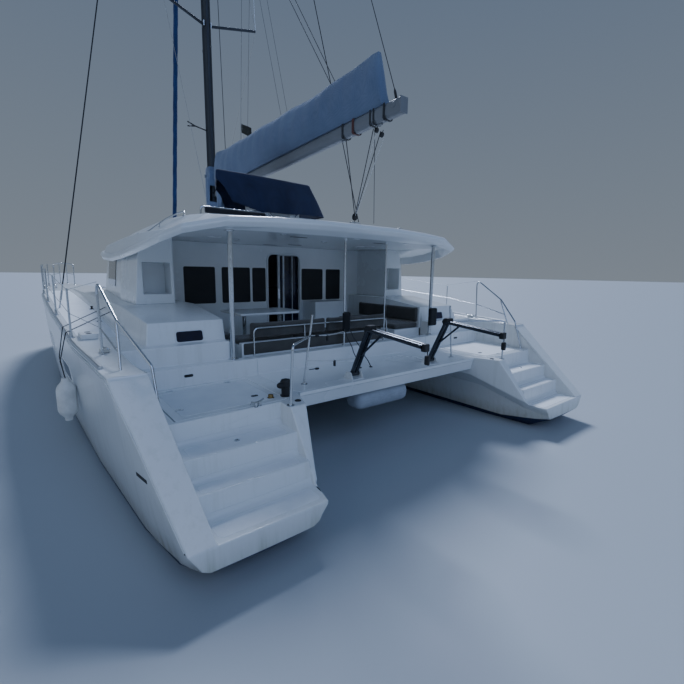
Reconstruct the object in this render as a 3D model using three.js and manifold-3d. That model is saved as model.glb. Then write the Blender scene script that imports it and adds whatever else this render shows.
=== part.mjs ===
// Sailing catamaran: two hulls, a bridge deck, a hollow saloon under a long hardtop, and a fractional rig.
// Millimetres. +X starboard, +Y forward, +Z up, origin on the waterline amidships.
import * as THREE from 'three';
import { mergeVertices } from 'three/addons/utils/BufferGeometryUtils.js';
import Module from 'manifold-3d';

const wasm = await Module();
wasm.setup();

// Overall sizes
const HALF_LENGTH = 6980;
const STERN = -HALF_LENGTH;
const BOW = HALF_LENGTH;
const DRAUGHT = 1300;
const MAST_TOP = 21700;
const TOUCH = 0.3;

// Deck levels above the waterline
const PLATFORM = 420;
const TREAD_1 = 646;
const TREAD_2 = 872;
const SOLE = 1100;
const AFT_STEP = 1325;
const TRUNK = 1980;
const CEILING = 3020;

// Stations along the boat
const RISER_1 = -6615;
const RISER_2 = -6375;
const RISER_3 = -6030;
const BEAM_AFT = -5810;
const BEAM_UNDER = 900;
const WALKWAY = -4800;
const TRUNK_AFT = -4580;
const WING_AFT = -3080;
const BULKHEAD = -2100;
const SALOON_FRONT = 2250;
const NACELLE_FRONT = 3400;
const CROSSBEAM = 4900;
const MAST_Y = 1140;

// Breadths, from the centreline
const JOIN = 1750;
const WELL = 2050;
const STAIR_IN = 2100;
const STAIR_OUT = 3230;
const TRUNK_OUT = 3080;
const CHAINPLATE = 3700;
const KEEL_LINE = 2950;

// Colours and finishes
const FINISHES = {
  gelcoat: { color: 0xf1f2f1, roughness: 0.3, metalness: 0 },
  antifouling: { color: 0x14254a, roughness: 0.8, metalness: 0 },
  steel: { color: 0xc9ccd0, roughness: 0.15, metalness: 1 },
  alloy: { color: 0xb9bec4, roughness: 0.4, metalness: 1 },
  bronze: { color: 0x9a7b4a, roughness: 0.35, metalness: 1 },
  canvas: { color: 0x1a2a4d, roughness: 0.9, metalness: 0 },
  bag: { color: 0x6f8db5, roughness: 0.85, metalness: 0 },
  fabric: { color: 0x5d6066, roughness: 0.9, metalness: 0 },
  glass: { color: 0x1a1d20, roughness: 0.05, metalness: 0 },
  coated: { color: 0xcfcfc9, roughness: 0.6, metalness: 0 },
  vinyl: { color: 0xe8e8e2, roughness: 0.45, metalness: 0 },
  net: { color: 0xdcdcd6, roughness: 0.9, metalness: 0 },
  engine: { color: 0x8a8f93, roughness: 0.5, metalness: 0.4 },
};

const boat = new THREE.Group();

function add(name, finish, geometry) {
  const mesh = new THREE.Mesh(geometry, new THREE.MeshStandardMaterial(FINISHES[finish]));
  mesh.name = name;
  boat.add(mesh);
  return mesh;
}

function solid(geometry) {
  const bare = geometry.clone();
  bare.deleteAttribute('normal');
  bare.deleteAttribute('uv');
  const merged = mergeVertices(bare, 0.001);
  const mesh = new wasm.Mesh({
    numProp: 3,
    vertProperties: new Float32Array(merged.attributes.position.array),
    triVerts: new Uint32Array(merged.index.array),
  });
  return new wasm.Manifold(mesh);
}

function shape(manifold) {
  const mesh = manifold.getMesh();
  const geometry = new THREE.BufferGeometry();
  geometry.setAttribute('position', new THREE.BufferAttribute(new Float32Array(mesh.vertProperties), 3));
  geometry.setIndex(new THREE.BufferAttribute(new Uint32Array(mesh.triVerts), 1));
  return geometry;
}

function fuse(parts) {
  return parts.map(solid).reduce((whole, part) => whole.add(part));
}

function joined(parts) {
  return shape(fuse(parts));
}

function carved(body, cuts) {
  return shape(cuts.map(solid).reduce((whole, cut) => whole.subtract(cut), solid(body)));
}

function mirrored(geometry) {
  const copy = geometry.clone().scale(-1, 1, 1);
  if (!copy.index) copy.setIndex([...Array(copy.attributes.position.count).keys()]);
  const index = copy.index.array;
  for (let i = 0; i < index.length; i += 3) [index[i], index[i + 1]] = [index[i + 1], index[i]];
  return copy;
}

function block(x0, x1, y0, y1, z0, z1) {
  const geometry = new THREE.BoxGeometry(x1 - x0, y1 - y0, z1 - z0);
  return geometry.translate((x0 + x1) / 2, (y0 + y1) / 2, (z0 + z1) / 2);
}

function outline(points) {
  return new THREE.Shape(points.map(([u, v]) => new THREE.Vector2(u, v)));
}

// A profile in plan, [x, y], raised from z0 to z1.
function raised(points, z0, z1) {
  const geometry = new THREE.ExtrudeGeometry(outline(points), { depth: z1 - z0, bevelEnabled: false });
  return geometry.translate(0, 0, z0);
}

// A side profile, [y, z], drawn across from x0 to x1.
function across(points, x0, x1) {
  const geometry = new THREE.ExtrudeGeometry(outline(points), { depth: x1 - x0, bevelEnabled: false });
  const turn = new THREE.Matrix4().set(0, 0, 1, x0, 1, 0, 0, 0, 0, 1, 0, 0, 0, 0, 0, 1);
  return geometry.applyMatrix4(turn);
}

// A cross profile, [x, z], drawn forward from y0 to y1.
function along(points, y0, y1) {
  const flipped = points.map(([x, z]) => [x, -z]);
  const geometry = new THREE.ExtrudeGeometry(outline(flipped), { depth: y1 - y0, bevelEnabled: false });
  const turn = new THREE.Matrix4().set(1, 0, 0, 0, 0, 0, 1, y0, 0, -1, 0, 0, 0, 0, 0, 1);
  return geometry.applyMatrix4(turn);
}

// A skin over rings of equal point counts, with both end rings closed.
function loft(rings, capAxes = ['x', 'z']) {
  const count = rings[0].length;
  const position = rings.flat().flat();
  const index = [];
  for (let r = 0; r + 1 < rings.length; r += 1) {
    for (let i = 0; i < count; i += 1) {
      const j = (i + 1) % count;
      const [a, b, c, d] = [r * count + i, r * count + j, (r + 1) * count + j, (r + 1) * count + i];
      index.push(a, b, c, a, c, d);
    }
  }
  const last = (rings.length - 1) * count;
  const pick = { x: 0, y: 1, z: 2 };
  for (const [start, ring, turned] of [[0, rings[0], true], [last, rings[rings.length - 1], false]]) {
    const flat = ring.map((p) => new THREE.Vector2(p[pick[capAxes[0]]], p[pick[capAxes[1]]]));
    const clockwise = THREE.ShapeUtils.isClockWise(flat);
    for (const [a, b, c] of THREE.ShapeUtils.triangulateShape(flat, [])) {
      const sideways = turned === clockwise;
      index.push(start + a, start + (sideways ? b : c), start + (sideways ? c : b));
    }
  }
  const geometry = new THREE.BufferGeometry();
  geometry.setAttribute('position', new THREE.Float32BufferAttribute(position, 3));
  geometry.setIndex(index);
  return facingOut(geometry);
}

// The same skin with its faces turned outward
function facingOut(geometry) {
  const p = geometry.attributes.position;
  const index = geometry.index.array;
  const corner = [0, 1, 2].map(() => new THREE.Vector3());
  let volume = 0;
  for (let i = 0; i < index.length; i += 3) {
    corner.forEach((v, k) => v.fromBufferAttribute(p, index[i + k]));
    volume += corner[0].dot(corner[1].cross(corner[2]));
  }
  if (volume < 0) {
    for (let i = 0; i < index.length; i += 3) [index[i], index[i + 1]] = [index[i + 1], index[i]];
  }
  return geometry;
}

// A path of straight runs with its corners rounded.
class Route extends THREE.Curve {
  constructor(corners, bend) {
    super();
    const points = corners.map((c) => new THREE.Vector3(...c));
    this.stops = [points[0]];
    for (let i = 1; i + 1 < points.length; i += 1) {
      const before = points[i - 1].clone().sub(points[i]);
      const after = points[i + 1].clone().sub(points[i]);
      const reach = Math.min(bend, before.length() / 2.2, after.length() / 2.2);
      const start = points[i].clone().add(before.setLength(reach));
      const end = points[i].clone().add(after.setLength(reach));
      const arc = new THREE.QuadraticBezierCurve3(start, points[i], end);
      this.stops.push(...(bend > 0 ? arc.getPoints(4) : [points[i]]));
    }
    this.stops.push(points[points.length - 1]);
  }

  getPointAt(u) {
    return this.stops[Math.round(u * (this.stops.length - 1))].clone();
  }

  getTangentAt(u) {
    const i = Math.round(u * (this.stops.length - 1));
    const back = this.stops[Math.max(i - 1, 0)];
    const ahead = this.stops[Math.min(i + 1, this.stops.length - 1)];
    return ahead.clone().sub(back).normalize();
  }
}

function tube(corners, radius, bend = 0, sides = 8) {
  const route = new Route(corners, bend);
  const ring = new THREE.Shape();
  ring.setFromPoints([...Array(sides).keys()].map((i) => {
    const angle = (i / sides) * 2 * Math.PI;
    return new THREE.Vector2(Math.cos(angle) * radius, Math.sin(angle) * radius);
  }));
  const steps = route.stops.length - 1;
  return new THREE.ExtrudeGeometry(ring, { steps, extrudePath: route, bevelEnabled: false });
}

// Hull sections, starboard: station, inner deck edge, outer sheer and its height, half-height of the
// outer side, inner and outer waterline breadth at height wl, bilge half breadth, keel, inner flare and knee
const HULL_SECTIONS = [
  { y: STERN, inner: 2150, sheer: 3500, top: 1480, mid: 420, wlIn: 2240, wlOut: 3330, wl: 250, bilge: 480,
    keel: 200, flare: 300, knee: 380 },
  { y: -6600, inner: 2040, sheer: 3560, top: 1490, mid: 600, wlIn: 2240, wlOut: 3390, wl: 110, bilge: 440,
    keel: -60, flare: 330, knee: 480 },
  { y: BEAM_AFT, inner: JOIN, sheer: 3670, top: 1520, mid: 800, wlIn: 2250, wlOut: 3480, wl: 40, bilge: 440,
    keel: -330, flare: 560, knee: 800 },
  { y: -4000, inner: JOIN, sheer: 3790, top: 1590, mid: 900, wlIn: 2230, wlOut: 3600, wl: 40, bilge: 460,
    keel: -520, flare: 600, knee: 860 },
  { y: -1200, inner: JOIN, sheer: 3860, top: 1820, mid: 900, wlIn: 2210, wlOut: 3690, wl: 40, bilge: 470,
    keel: -600, flare: 600, knee: 860 },
  { y: 1500, inner: JOIN, sheer: 3840, top: 1930, mid: 900, wlIn: 2250, wlOut: 3650, wl: 40, bilge: 440,
    keel: -590, flare: 600, knee: 860 },
  { y: NACELLE_FRONT, inner: JOIN, sheer: 3720, top: 1960, mid: 900, wlIn: 2400, wlOut: 3500, wl: 40,
    bilge: 350, keel: -540, flare: 620, knee: 860 },
  { y: 3900, inner: 2330, sheer: 3670, top: 1965, mid: 900, wlIn: 2480, wlOut: 3440, wl: 40, bilge: 320,
    keel: -520, flare: 700, knee: 1100 },
  { y: 5400, inner: 2560, sheer: 3450, top: 1990, mid: 900, wlIn: 2760, wlOut: 3210, wl: 40, bilge: 160,
    keel: -440, flare: 760, knee: 1250 },
  { y: 6500, inner: 2800, sheer: 3220, top: 2010, mid: 900, wlIn: 2960, wlOut: 3050, wl: 40, bilge: 35,
    keel: -330, flare: 800, knee: 1350 },
  { y: BOW, inner: 2960, sheer: 3060, top: 2020, mid: 900, wlIn: 3000, wlOut: 3020, wl: 40, bilge: 8,
    keel: -200, flare: 800, knee: 1400 },
];

function hullRing(s) {
  const middle = (s.wlIn + s.wlOut) / 2;
  const turn = s.keel + (s.wl - s.keel) * 0.3;
  return [
    [s.inner, s.y, s.top],
    [s.sheer, s.y, s.top],
    [s.wlOut + (s.sheer - s.wlOut) * 0.6, s.y, s.mid],
    [s.wlOut, s.y, s.wl],
    [middle + s.bilge, s.y, turn],
    [middle, s.y, s.keel],
    [middle - s.bilge, s.y, turn],
    [s.wlIn, s.y, s.wl],
    [s.wlIn + (s.inner - s.wlIn) * 0.3, s.y, s.flare],
    [s.inner, s.y, s.knee],
  ];
}

// The stern's cuts: stairs, the two sloping bulwarks, the hatch deck and the step to the side deck
const OVER = 600;
const HIGH = 2600;

// The bulwark's inner face runs out a little as it goes forward
function bulwark() {
  return raised([[STAIR_OUT - 30, STERN - OVER], [STAIR_OUT - 30, STERN], [3370, -5250], [3370, -4000],
    [4300, -4000], [4300, STERN - OVER]], -OVER, HIGH + OVER);
}

function stairCut() {
  return carved(across([
    [STERN - OVER, PLATFORM], [RISER_1, PLATFORM], [RISER_1 + 15, TREAD_1], [RISER_2, TREAD_1],
    [RISER_2 + 15, TREAD_2], [RISER_3, TREAD_2], [RISER_3 + 15, SOLE], [WALKWAY, SOLE],
    [WALKWAY + 20, AFT_STEP], [TRUNK_AFT - 20, AFT_STEP], [TRUNK_AFT - 20, HIGH], [STERN - OVER, HIGH],
  ], STAIR_IN, 3500), [bulwark()]);
}

function innerBulwarkCut() {
  return across([
    [STERN - OVER, PLATFORM], [-6700, PLATFORM], [-6230, SOLE], [WALKWAY, SOLE],
    [WALKWAY + 20, AFT_STEP], [TRUNK_AFT - 20, AFT_STEP], [TRUNK_AFT - 20, HIGH], [STERN - OVER, HIGH],
  ], JOIN - OVER, STAIR_IN + 1);
}

function outerBulwarkCut() {
  return across([
    [STERN - OVER, PLATFORM], [STERN, PLATFORM], [-5680, 1519], [-5600, HIGH], [STERN - OVER, HIGH],
  ], STAIR_OUT - 60, 4200);
}

function wellCut() {
  return block(JOIN - OVER, WELL, TRUNK_AFT - 20, SALOON_FRONT, SOLE, HIGH);
}

// The engine bay under the hatch and the hatch's landing
const BAY = { x0: 2330, x1: 3120, y0: -5880, y1: -5000, floor: -60 };
const HATCH = { x0: 1980, x1: 3190, y0: -5960, y1: -4880, thick: 40, gap: 8 };

function bayCut() {
  return block(BAY.x0, BAY.x1, BAY.y0, BAY.y1, BAY.floor, HIGH);
}

function hatchRebate() {
  return block(HATCH.x0, HATCH.x1, HATCH.y0, HATCH.y1, SOLE - HATCH.thick - TOUCH, HIGH);
}

// The raised trunk over the aft cabin, which carries the saloon's side
function trunk() {
  const foot = SOLE - 100;
  const aft = [[WELL, foot], [TRUNK_OUT + 60, foot], [TRUNK_OUT + 40, AFT_STEP], [TRUNK_OUT - 60, 1840],
    [WELL, 1840]];
  const fore = [[WELL, foot], [TRUNK_OUT + 120, foot], [TRUNK_OUT + 100, 1800], [TRUNK_OUT + 20, TRUNK],
    [WELL, TRUNK]];
  const ring = (profile, y, lean) => profile.map(([x, z]) => [x, y + lean * Math.max(z - AFT_STEP, 0), z]);
  return loft([
    ring(aft, TRUNK_AFT, 0.42),
    ring(fore, WING_AFT - 160, 0),
    ring(fore, SALOON_FRONT - 200, 0),
    ring(fore, NACELLE_FRONT - 300, 0),
  ]);
}

// Keels, rudders and drives below the hulls
const KEEL = { y0: -1500, y1: 1600, top: -420, foot: -DRAUGHT, half: 170, footHalf: 90 };
const RUDDER = { y: -6050, fore: 130, aft: 330, half: 45, top: -420, foot: -1120, stock: 35, head: -190 };
const DRIVE = { y: -5150, z: -860, half: 55, chord: 260, hub: 75, hubLength: 420 };
const PROP = { radius: 215, hub: 60, hubLength: 110, width: 110, thick: 14, blades: 3, pitch: 0.6 };

function upright(radius, x, y, z0, z1, sides = 16) {
  const rod = new THREE.CylinderGeometry(radius, radius, z1 - z0, sides).rotateX(Math.PI / 2);
  return rod.translate(x, y, (z0 + z1) / 2);
}

function foreAft(radius, x, z, y0, y1, sides = 20) {
  return new THREE.CylinderGeometry(radius, radius, y1 - y0, sides).translate(x, (y0 + y1) / 2, z);
}

function stockHole() {
  return upright(RUDDER.stock + 6, KEEL_LINE, RUDDER.y, RUDDER.top - 300, RUDDER.head + TOUCH);
}

const hull = carved(
  joined([carved(loft(HULL_SECTIONS.map(hullRing)), [stairCut(), innerBulwarkCut(), outerBulwarkCut()]), trunk()]),
  [wellCut(), bayCut(), hatchRebate(), stockHole()],
);
add('hull_port', 'gelcoat', mirrored(hull));
add('hull_starboard', 'gelcoat', hull);
const hullLowered = solid(hull.clone().translate(0, 0, -TOUCH));

function underHull(geometry) {
  return shape(solid(geometry).subtract(hullLowered));
}

function bothSides(name, finish, geometry) {
  add(`${name}_port`, finish, mirrored(geometry));
  add(`${name}_starboard`, finish, geometry);
}

// Engine hatches, each a moulded lid in its landing
bothSides('engine_hatch', 'gelcoat', block(
  HATCH.x0 + HATCH.gap, HATCH.x1 - HATCH.gap, HATCH.y0 + HATCH.gap, HATCH.y1 - HATCH.gap,
  SOLE - HATCH.thick, SOLE,
));

// Engines: one plain block each, standing on the bay's floor
bothSides('engine', 'engine', block(2480, 2970, -5820, -5120, BAY.floor, BAY.floor + 620));

// Stub keels: a rounded foil that is thinner at its foot
function keelRing(z, half, y0, y1) {
  const side = [[0.25, 0.8], [0.55, 1], [0.85, 0.75]];
  const line = [[0, 0], ...side, [1, 0], ...side.map(([u, w]) => [u, -w]).reverse()];
  return line.map(([u, w]) => [KEEL_LINE + w * half, y0 + u * (y1 - y0), z]);
}

bothSides('keel', 'antifouling', underHull(loft([
  keelRing(KEEL.foot, KEEL.footHalf, KEEL.y0 + 300, KEEL.y1 - 500),
  keelRing(KEEL.foot + 120, KEEL.footHalf + 30, KEEL.y0 + 200, KEEL.y1 - 380),
  keelRing(KEEL.top, KEEL.half, KEEL.y0, KEEL.y1),
], ['x', 'y'])));

// Rudders: a balanced foil on a stock that turns in the hull
function rudder() {
  const blade = [[-RUDDER.aft, 0.1], [-0.2 * RUDDER.aft, 1], [RUDDER.fore * 0.6, 0.8], [RUDDER.fore, 0.1],
    [RUDDER.fore, -0.1], [RUDDER.fore * 0.6, -0.8], [-0.2 * RUDDER.aft, -1], [-RUDDER.aft, -0.1]];
  const ring = (z, scale) => blade.map(([y, w]) => [KEEL_LINE + w * RUDDER.half, RUDDER.y + y * scale, z]);
  const foil = loft([ring(RUDDER.foot, 0.75), ring(RUDDER.top, 1)], ['x', 'y']);
  return joined([foil, upright(RUDDER.stock, KEEL_LINE, RUDDER.y, RUDDER.top - 60, RUDDER.head)]);
}
bothSides('rudder', 'antifouling', rudder());

// Drive legs with their bullet, and the propellers behind them
function driveLeg() {
  const foil = [[-0.5, 0], [-0.2, 1], [0.25, 0.8], [0.5, 0], [0.25, -0.8], [-0.2, -1]];
  const ring = (z) => foil.map(([u, w]) => [KEEL_LINE + w * DRIVE.half, DRIVE.y + u * DRIVE.chord, z]);
  const reach = DRIVE.hubLength / 2;
  const bullet = foreAft(DRIVE.hub, KEEL_LINE, DRIVE.z, DRIVE.y - reach, DRIVE.y + reach);
  return joined([loft([ring(DRIVE.z), ring(-200)], ['x', 'y']), bullet]);
}
bothSides('drive_leg', 'alloy', underHull(driveLeg()));

const PROP_Y = DRIVE.y - DRIVE.hubLength / 2 - TOUCH - PROP.hubLength / 2;

function propeller() {
  const parts = [foreAft(PROP.hub, 0, 0, -PROP.hubLength / 2, PROP.hubLength / 2)];
  for (let i = 0; i < PROP.blades; i += 1) {
    const reach = PROP.radius - PROP.hub * 0.5;
    const blade = new THREE.BoxGeometry(PROP.width, PROP.thick, reach, 1, 1, 2);
    blade.translate(0, 0, PROP.hub * 0.5 + reach / 2).rotateZ(PROP.pitch);
    blade.rotateY((i / PROP.blades) * 2 * Math.PI);
    parts.push(blade);
  }
  return joined(parts).translate(KEEL_LINE, PROP_Y, DRIVE.z);
}
bothSides('propeller', 'bronze', propeller());

// Davit pivots: a pad and two ears on the aft beam
const DAVIT = {
  x: 785, foot: [-5690, SOLE + 60], elbow: [-5990, 1790], end: [-6880, 1710], spread: 36, radius: 27, inEars: 82,
};

function davitFoot() {
  const x = DAVIT.x;
  const [aft, fore] = [DAVIT.foot[0] - 100, DAVIT.foot[0] + 100];
  const side = [[aft, SOLE], [fore, SOLE], [fore - 50, SOLE + 95], [aft + 50, SOLE + 95]];
  const ear = across(side, x + DAVIT.inEars, x + DAVIT.inEars + 14);
  const other = across(side, x - DAVIT.inEars - 14, x - DAVIT.inEars);
  return joined([block(x - 110, x + 110, aft, fore, SOLE - 20, SOLE + 12), ear, other]);
}

// The bridge deck: aft beam, cockpit and saloon sole, and the nacelle that carries the foredeck
function bridgeDeck() {
  const profile = [
    [BEAM_AFT, BEAM_UNDER], [BEAM_AFT + 410, BEAM_UNDER], [BEAM_AFT + 700, BEAM_UNDER - 40],
    [NACELLE_FRONT - 700, BEAM_UNDER - 40], [NACELLE_FRONT - 150, 1250], [NACELLE_FRONT, TRUNK],
    [SALOON_FRONT, TRUNK], [SALOON_FRONT, SOLE], [TRUNK_AFT - 20, SOLE], [TRUNK_AFT - 20, AFT_STEP],
    [WALKWAY + 20, AFT_STEP], [WALKWAY, SOLE], [BEAM_AFT, SOLE],
  ];
  return across(profile, -JOIN, JOIN);
}
add('bridge_deck', 'gelcoat', joined([bridgeDeck(), davitFoot(), mirrored(davitFoot())]));

// The saloon's shell: raked walls in one ring with the aft bulkhead, windows and door cut through
const WALL = 60;
const SIDE_WALL = [[2870, TRUNK], [2805, 2700], [2700, CEILING]];
const SIDE_TAPER = 0.09;
const FRONT_RAKE = 900;

function saloonRing(z, out, front, aft) {
  const fore = out - SIDE_TAPER * (front - 700 - aft);
  return [[-out, aft, z], [out, aft, z], [fore, front - 700, z], [out * 0.68, front - 120, z], [0, front, z],
    [-out * 0.68, front - 120, z], [-fore, front - 700, z]];
}

// The saloon's body, its walls drawn in by inset, and run past floor and roof where it is a hollow
function saloonBody(inset, past = 0) {
  const [foot, knee, head] = SIDE_WALL;
  const lean = (low, high) => (high[0] - low[0]) / (high[1] - low[1]);
  const walls = [[foot[0] - past * lean(foot, knee), foot[1] - past], knee,
    [head[0] + past * lean(knee, head), head[1] + past]];
  const rings = walls.map(([x, z]) => {
    const rake = (FRONT_RAKE * (z - TRUNK)) / (CEILING - TRUNK);
    return saloonRing(z, x - inset, SALOON_FRONT + 750 - rake - inset, BULKHEAD + inset);
  });
  return loft(rings, ['x', 'y']);
}

// Aft bulkhead windows and the doorway, in x, at one sill and head
const PANE_SILL = 1890;
const PANE_HEAD = 2560;
const AFT_PANES = [[-1840, -1270], [-1120, -550], [-480, -200], [700, 1250], [1360, 1750]];
const DOORWAY = { x0: -130, x1: 630, head: 2850 };

// Side and front windows, in y and in x
const SIDE_PANES = [[-650, 300], [420, 1100]];
const SIDE_SILL = 2230;
const SIDE_HEAD = 2780;
const FRONT_PANES = [[-1700, -900], [-800, -50], [50, 800], [900, 1700]];
const FRONT_SILL = 2230;
const FRONT_HEAD = 2800;
const GLASS = 10;

function windowCuts() {
  const [aft, fore] = [BULKHEAD - 200, BULKHEAD + 200];
  const cuts = AFT_PANES.map(([x0, x1]) => block(x0, x1, aft, fore, PANE_SILL, PANE_HEAD));
  cuts.push(block(DOORWAY.x0, DOORWAY.x1, aft, fore, SOLE - 200, DOORWAY.head));
  for (const [y0, y1] of SIDE_PANES) {
    const side = block(2300, 3300, y0, y1, SIDE_SILL, SIDE_HEAD);
    cuts.push(side, mirrored(side));
  }
  for (const [x0, x1] of FRONT_PANES) cuts.push(block(x0, x1, 1300, 3200, FRONT_SILL, FRONT_HEAD));
  return cuts;
}

// The wings that carry the hardtop aft of the bulkhead, each with a niche in its aft face
const WING_INNER = 2300;

function wing() {
  const profile = [[WING_INNER, TRUNK], ...SIDE_WALL, [WING_INNER, CEILING]];
  return along(profile, WING_AFT, BULKHEAD + 200);
}

function niche() {
  return block(WING_INNER + 45, 2750, WING_AFT - 100, WING_AFT + 350, 2130, 2610);
}

function saloonShell() {
  const bulkhead = block(-WELL + TOUCH, WELL - TOUCH, BULKHEAD, BULKHEAD + WALL, SOLE, CEILING);
  const outer = joined([saloonBody(0), wing(), mirrored(wing())]);
  const ring = carved(outer, [saloonBody(WALL, WALL), niche(), mirrored(niche())]);
  return carved(joined([ring, bulkhead]), windowCuts());
}
add('saloon_shell', 'gelcoat', saloonShell());

// Glass bonded over the openings outside, and behind the bulkhead's openings inside
function bonded(area) {
  const skin = carved(saloonBody(-GLASS), [saloonBody(-TOUCH)]);
  return shape(solid(skin).intersect(solid(area)));
}
const LAP = 60;
bothSides('side_glass', 'glass', bonded(
  block(2300, 3400, SIDE_PANES[0][0] - LAP, SIDE_PANES[1][1] + LAP, SIDE_SILL - LAP, SIDE_HEAD + LAP),
));
add('front_glass', 'glass', bonded(
  block(FRONT_PANES[0][0] - LAP, FRONT_PANES[3][1] + LAP, 1200, 3600, FRONT_SILL - LAP, FRONT_HEAD + LAP),
));

function aftGlass(first, last) {
  const y = BULKHEAD + WALL + TOUCH;
  const [x0, x1] = [AFT_PANES[first][0] - LAP, AFT_PANES[last][1] + LAP];
  return block(x0, x1, y, y + GLASS, PANE_SILL - LAP, PANE_HEAD + LAP);
}
add('aft_glass_port', 'glass', aftGlass(0, 2));
add('aft_glass_starboard', 'glass', aftGlass(3, 4));

// Sliding door leaf on the inside of the bulkhead: a frame round one pane
const DOOR = { x0: 140, x1: 930, thick: 30, stile: 55, foot: TOUCH };

function doorLeaf() {
  const y = BULKHEAD + WALL + GLASS + 6;
  const top = DOORWAY.head + 40;
  const leaf = block(DOOR.x0, DOOR.x1, y, y + DOOR.thick, SOLE + DOOR.foot, top);
  const light = block(DOOR.x0 + DOOR.stile, DOOR.x1 - DOOR.stile, y - 1, y + 10,
    SOLE + DOOR.foot + DOOR.stile, top - DOOR.stile);
  return carved(leaf, [light]);
}
add('saloon_door', 'alloy', doorLeaf());

// The hardtop: rim points of one side from the aft middle round to the front, with the rim's top height
const HARDTOP_RIM = [
  [700, -4990, 3225], [1500, -4950, 3205], [2150, -4860, 3175], [2650, -4670, 3065], [2820, -4300, 2965],
  [2900, -3800, 2885], [2930, -3400, 2845], [2920, -2400, 2795], [2840, -1000, 2770], [2730, 700, 2835],
  [2640, 1500, 2910], [2260, 2200, 3020], [1450, 2490, 3080], [600, 2580, 3120],
];
const FASCIA = 135;
const HARDTOP_MIDDLE = -1330;
const CROWN = 3290;

function hardtop() {
  const rim = [...HARDTOP_RIM, ...HARDTOP_RIM.map(([x, y, z]) => [-x, y, z]).reverse()];
  const inset = (share, height) => rim.map(([x, y, z]) => {
    return [x * share, HARDTOP_MIDDLE + (y - HARDTOP_MIDDLE) * share, height(z)];
  });
  return loft([
    inset(0.5, () => CEILING),
    inset(0.955, () => CEILING),
    inset(0.985, (z) => z - FASCIA),
    inset(1, (z) => z - FASCIA * 0.5),
    inset(0.985, (z) => z),
    inset(0.9, (z) => z + 0.28 * (CROWN - z)),
    inset(0.84, (z) => z + 0.62 * (CROWN - z)),
    inset(0.78, () => CROWN),
  ], ['x', 'y']);
}
add('hardtop', 'gelcoat', hardtop());

// Stainless posts under the hardtop's aft edge
const POSTS = [
  { name: 'hardtop_post_port', x: -2030, y: -4635, foot: AFT_STEP, radius: 32 },
  { name: 'hardtop_post_starboard', x: 2030, y: -4635, foot: AFT_STEP, radius: 32 },
  { name: 'hardtop_post_middle', x: -120, y: -4640, foot: AFT_STEP, radius: 16 },
  { name: 'hardtop_post_inner', x: 780, y: -4640, foot: AFT_STEP, radius: 12 },
];
for (const { name, x, y, foot, radius } of POSTS) add(name, 'steel', upright(radius, x, y, foot, CEILING, 12));

// Cockpit: table on two legs, three benches and the cabinet
function cockpitTable() {
  const edge = [[-1500, -3750], [-420, -3750], [-300, -3600], [-300, -3050], [-420, -2900], [-1500, -2900]];
  const top = raised(edge, 1790, 1825);
  return joined([top, upright(45, -1250, -3320, SOLE, 1800, 12), upright(45, -560, -3320, SOLE, 1800, 12)]);
}
add('cockpit_table', 'gelcoat', cockpitTable());

const SEAT = 1540;
const BACK = 1790;

function benchPort() {
  return joined([
    block(-WELL + 10, -1640, -3900, BULKHEAD - 30, SOLE, SEAT),
    block(-WELL + 10, -1960, -3900, BULKHEAD - 30, SEAT - 5, BACK),
  ]);
}

function benchAft() {
  return joined([
    block(-1850, 1000, -4420, -3960, SOLE, SEAT),
    block(-1850, 1000, -4520, -4400, SOLE, BACK),
  ]);
}

function seatStarboard() {
  return joined([
    block(1300, WELL - 10, -4400, -2600, SOLE, SEAT),
    block(WELL - 130, WELL - 10, -4400, -2600, SEAT - 5, BACK + 60),
  ]);
}
add('bench_port', 'fabric', benchPort());
add('bench_aft', 'fabric', benchAft());
add('seat_starboard', 'fabric', seatStarboard());
add('galley_cabinet', 'gelcoat', block(720, 1600, BULKHEAD - 500, BULKHEAD - 5, SOLE, 1870));

// Flybridge: coaming with its seat, helm console and wheel, padded back rail, and the canvas over the helm
const FLY = CROWN;

function flybridgeCoaming() {
  const outer = raised([[-1700, -3350], [1700, -3350], [2000, -3050], [2000, -300], [1500, 150], [-1500, 150],
    [-2000, -300], [-2000, -3050]], FLY, FLY + 60);
  const inner = raised([[-1600, -3210], [1600, -3210], [1860, -2950], [1860, -350], [1430, 20], [-1430, 20],
    [-1860, -350], [-1860, -2950]], FLY - 50, FLY + 200);
  return joined([carved(outer, [inner]), block(-1865, 1865, -800, 25, FLY, FLY + 40)]);
}
add('flybridge_coaming', 'gelcoat', flybridgeCoaming());

const HELM = { x0: -620, x1: 400, y0: -2480, y1: -2120, top: 3900 };
const COVER = { aft: -2980, fore: -2060, top: 4160, cloth: 40, drawIn: 350 };
const WHEEL = { x: -100, z: 3740, radius: 330, rim: 14, boss: 180, hub: 25 };

function helmConsole() {
  const face = across([[HELM.y0, FLY], [HELM.y1, FLY], [HELM.y1, HELM.top], [HELM.y0 + 150, HELM.top],
    [HELM.y0, HELM.top - 120]], HELM.x0, HELM.x1);
  const boss = foreAft(45, WHEEL.x, WHEEL.z, HELM.y0 - WHEEL.boss, HELM.y0 + 20, 16);
  const under = COVER.top - COVER.cloth - TOUCH;
  const screen = across([[-2310, HELM.top - 5], [-2250, HELM.top - 5], [-2485, under], [-2515, under]],
    HELM.x0 + 60, HELM.x1 - 120);
  return joined([face, boss, screen]);
}
add('helm_console', 'gelcoat', helmConsole());

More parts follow.
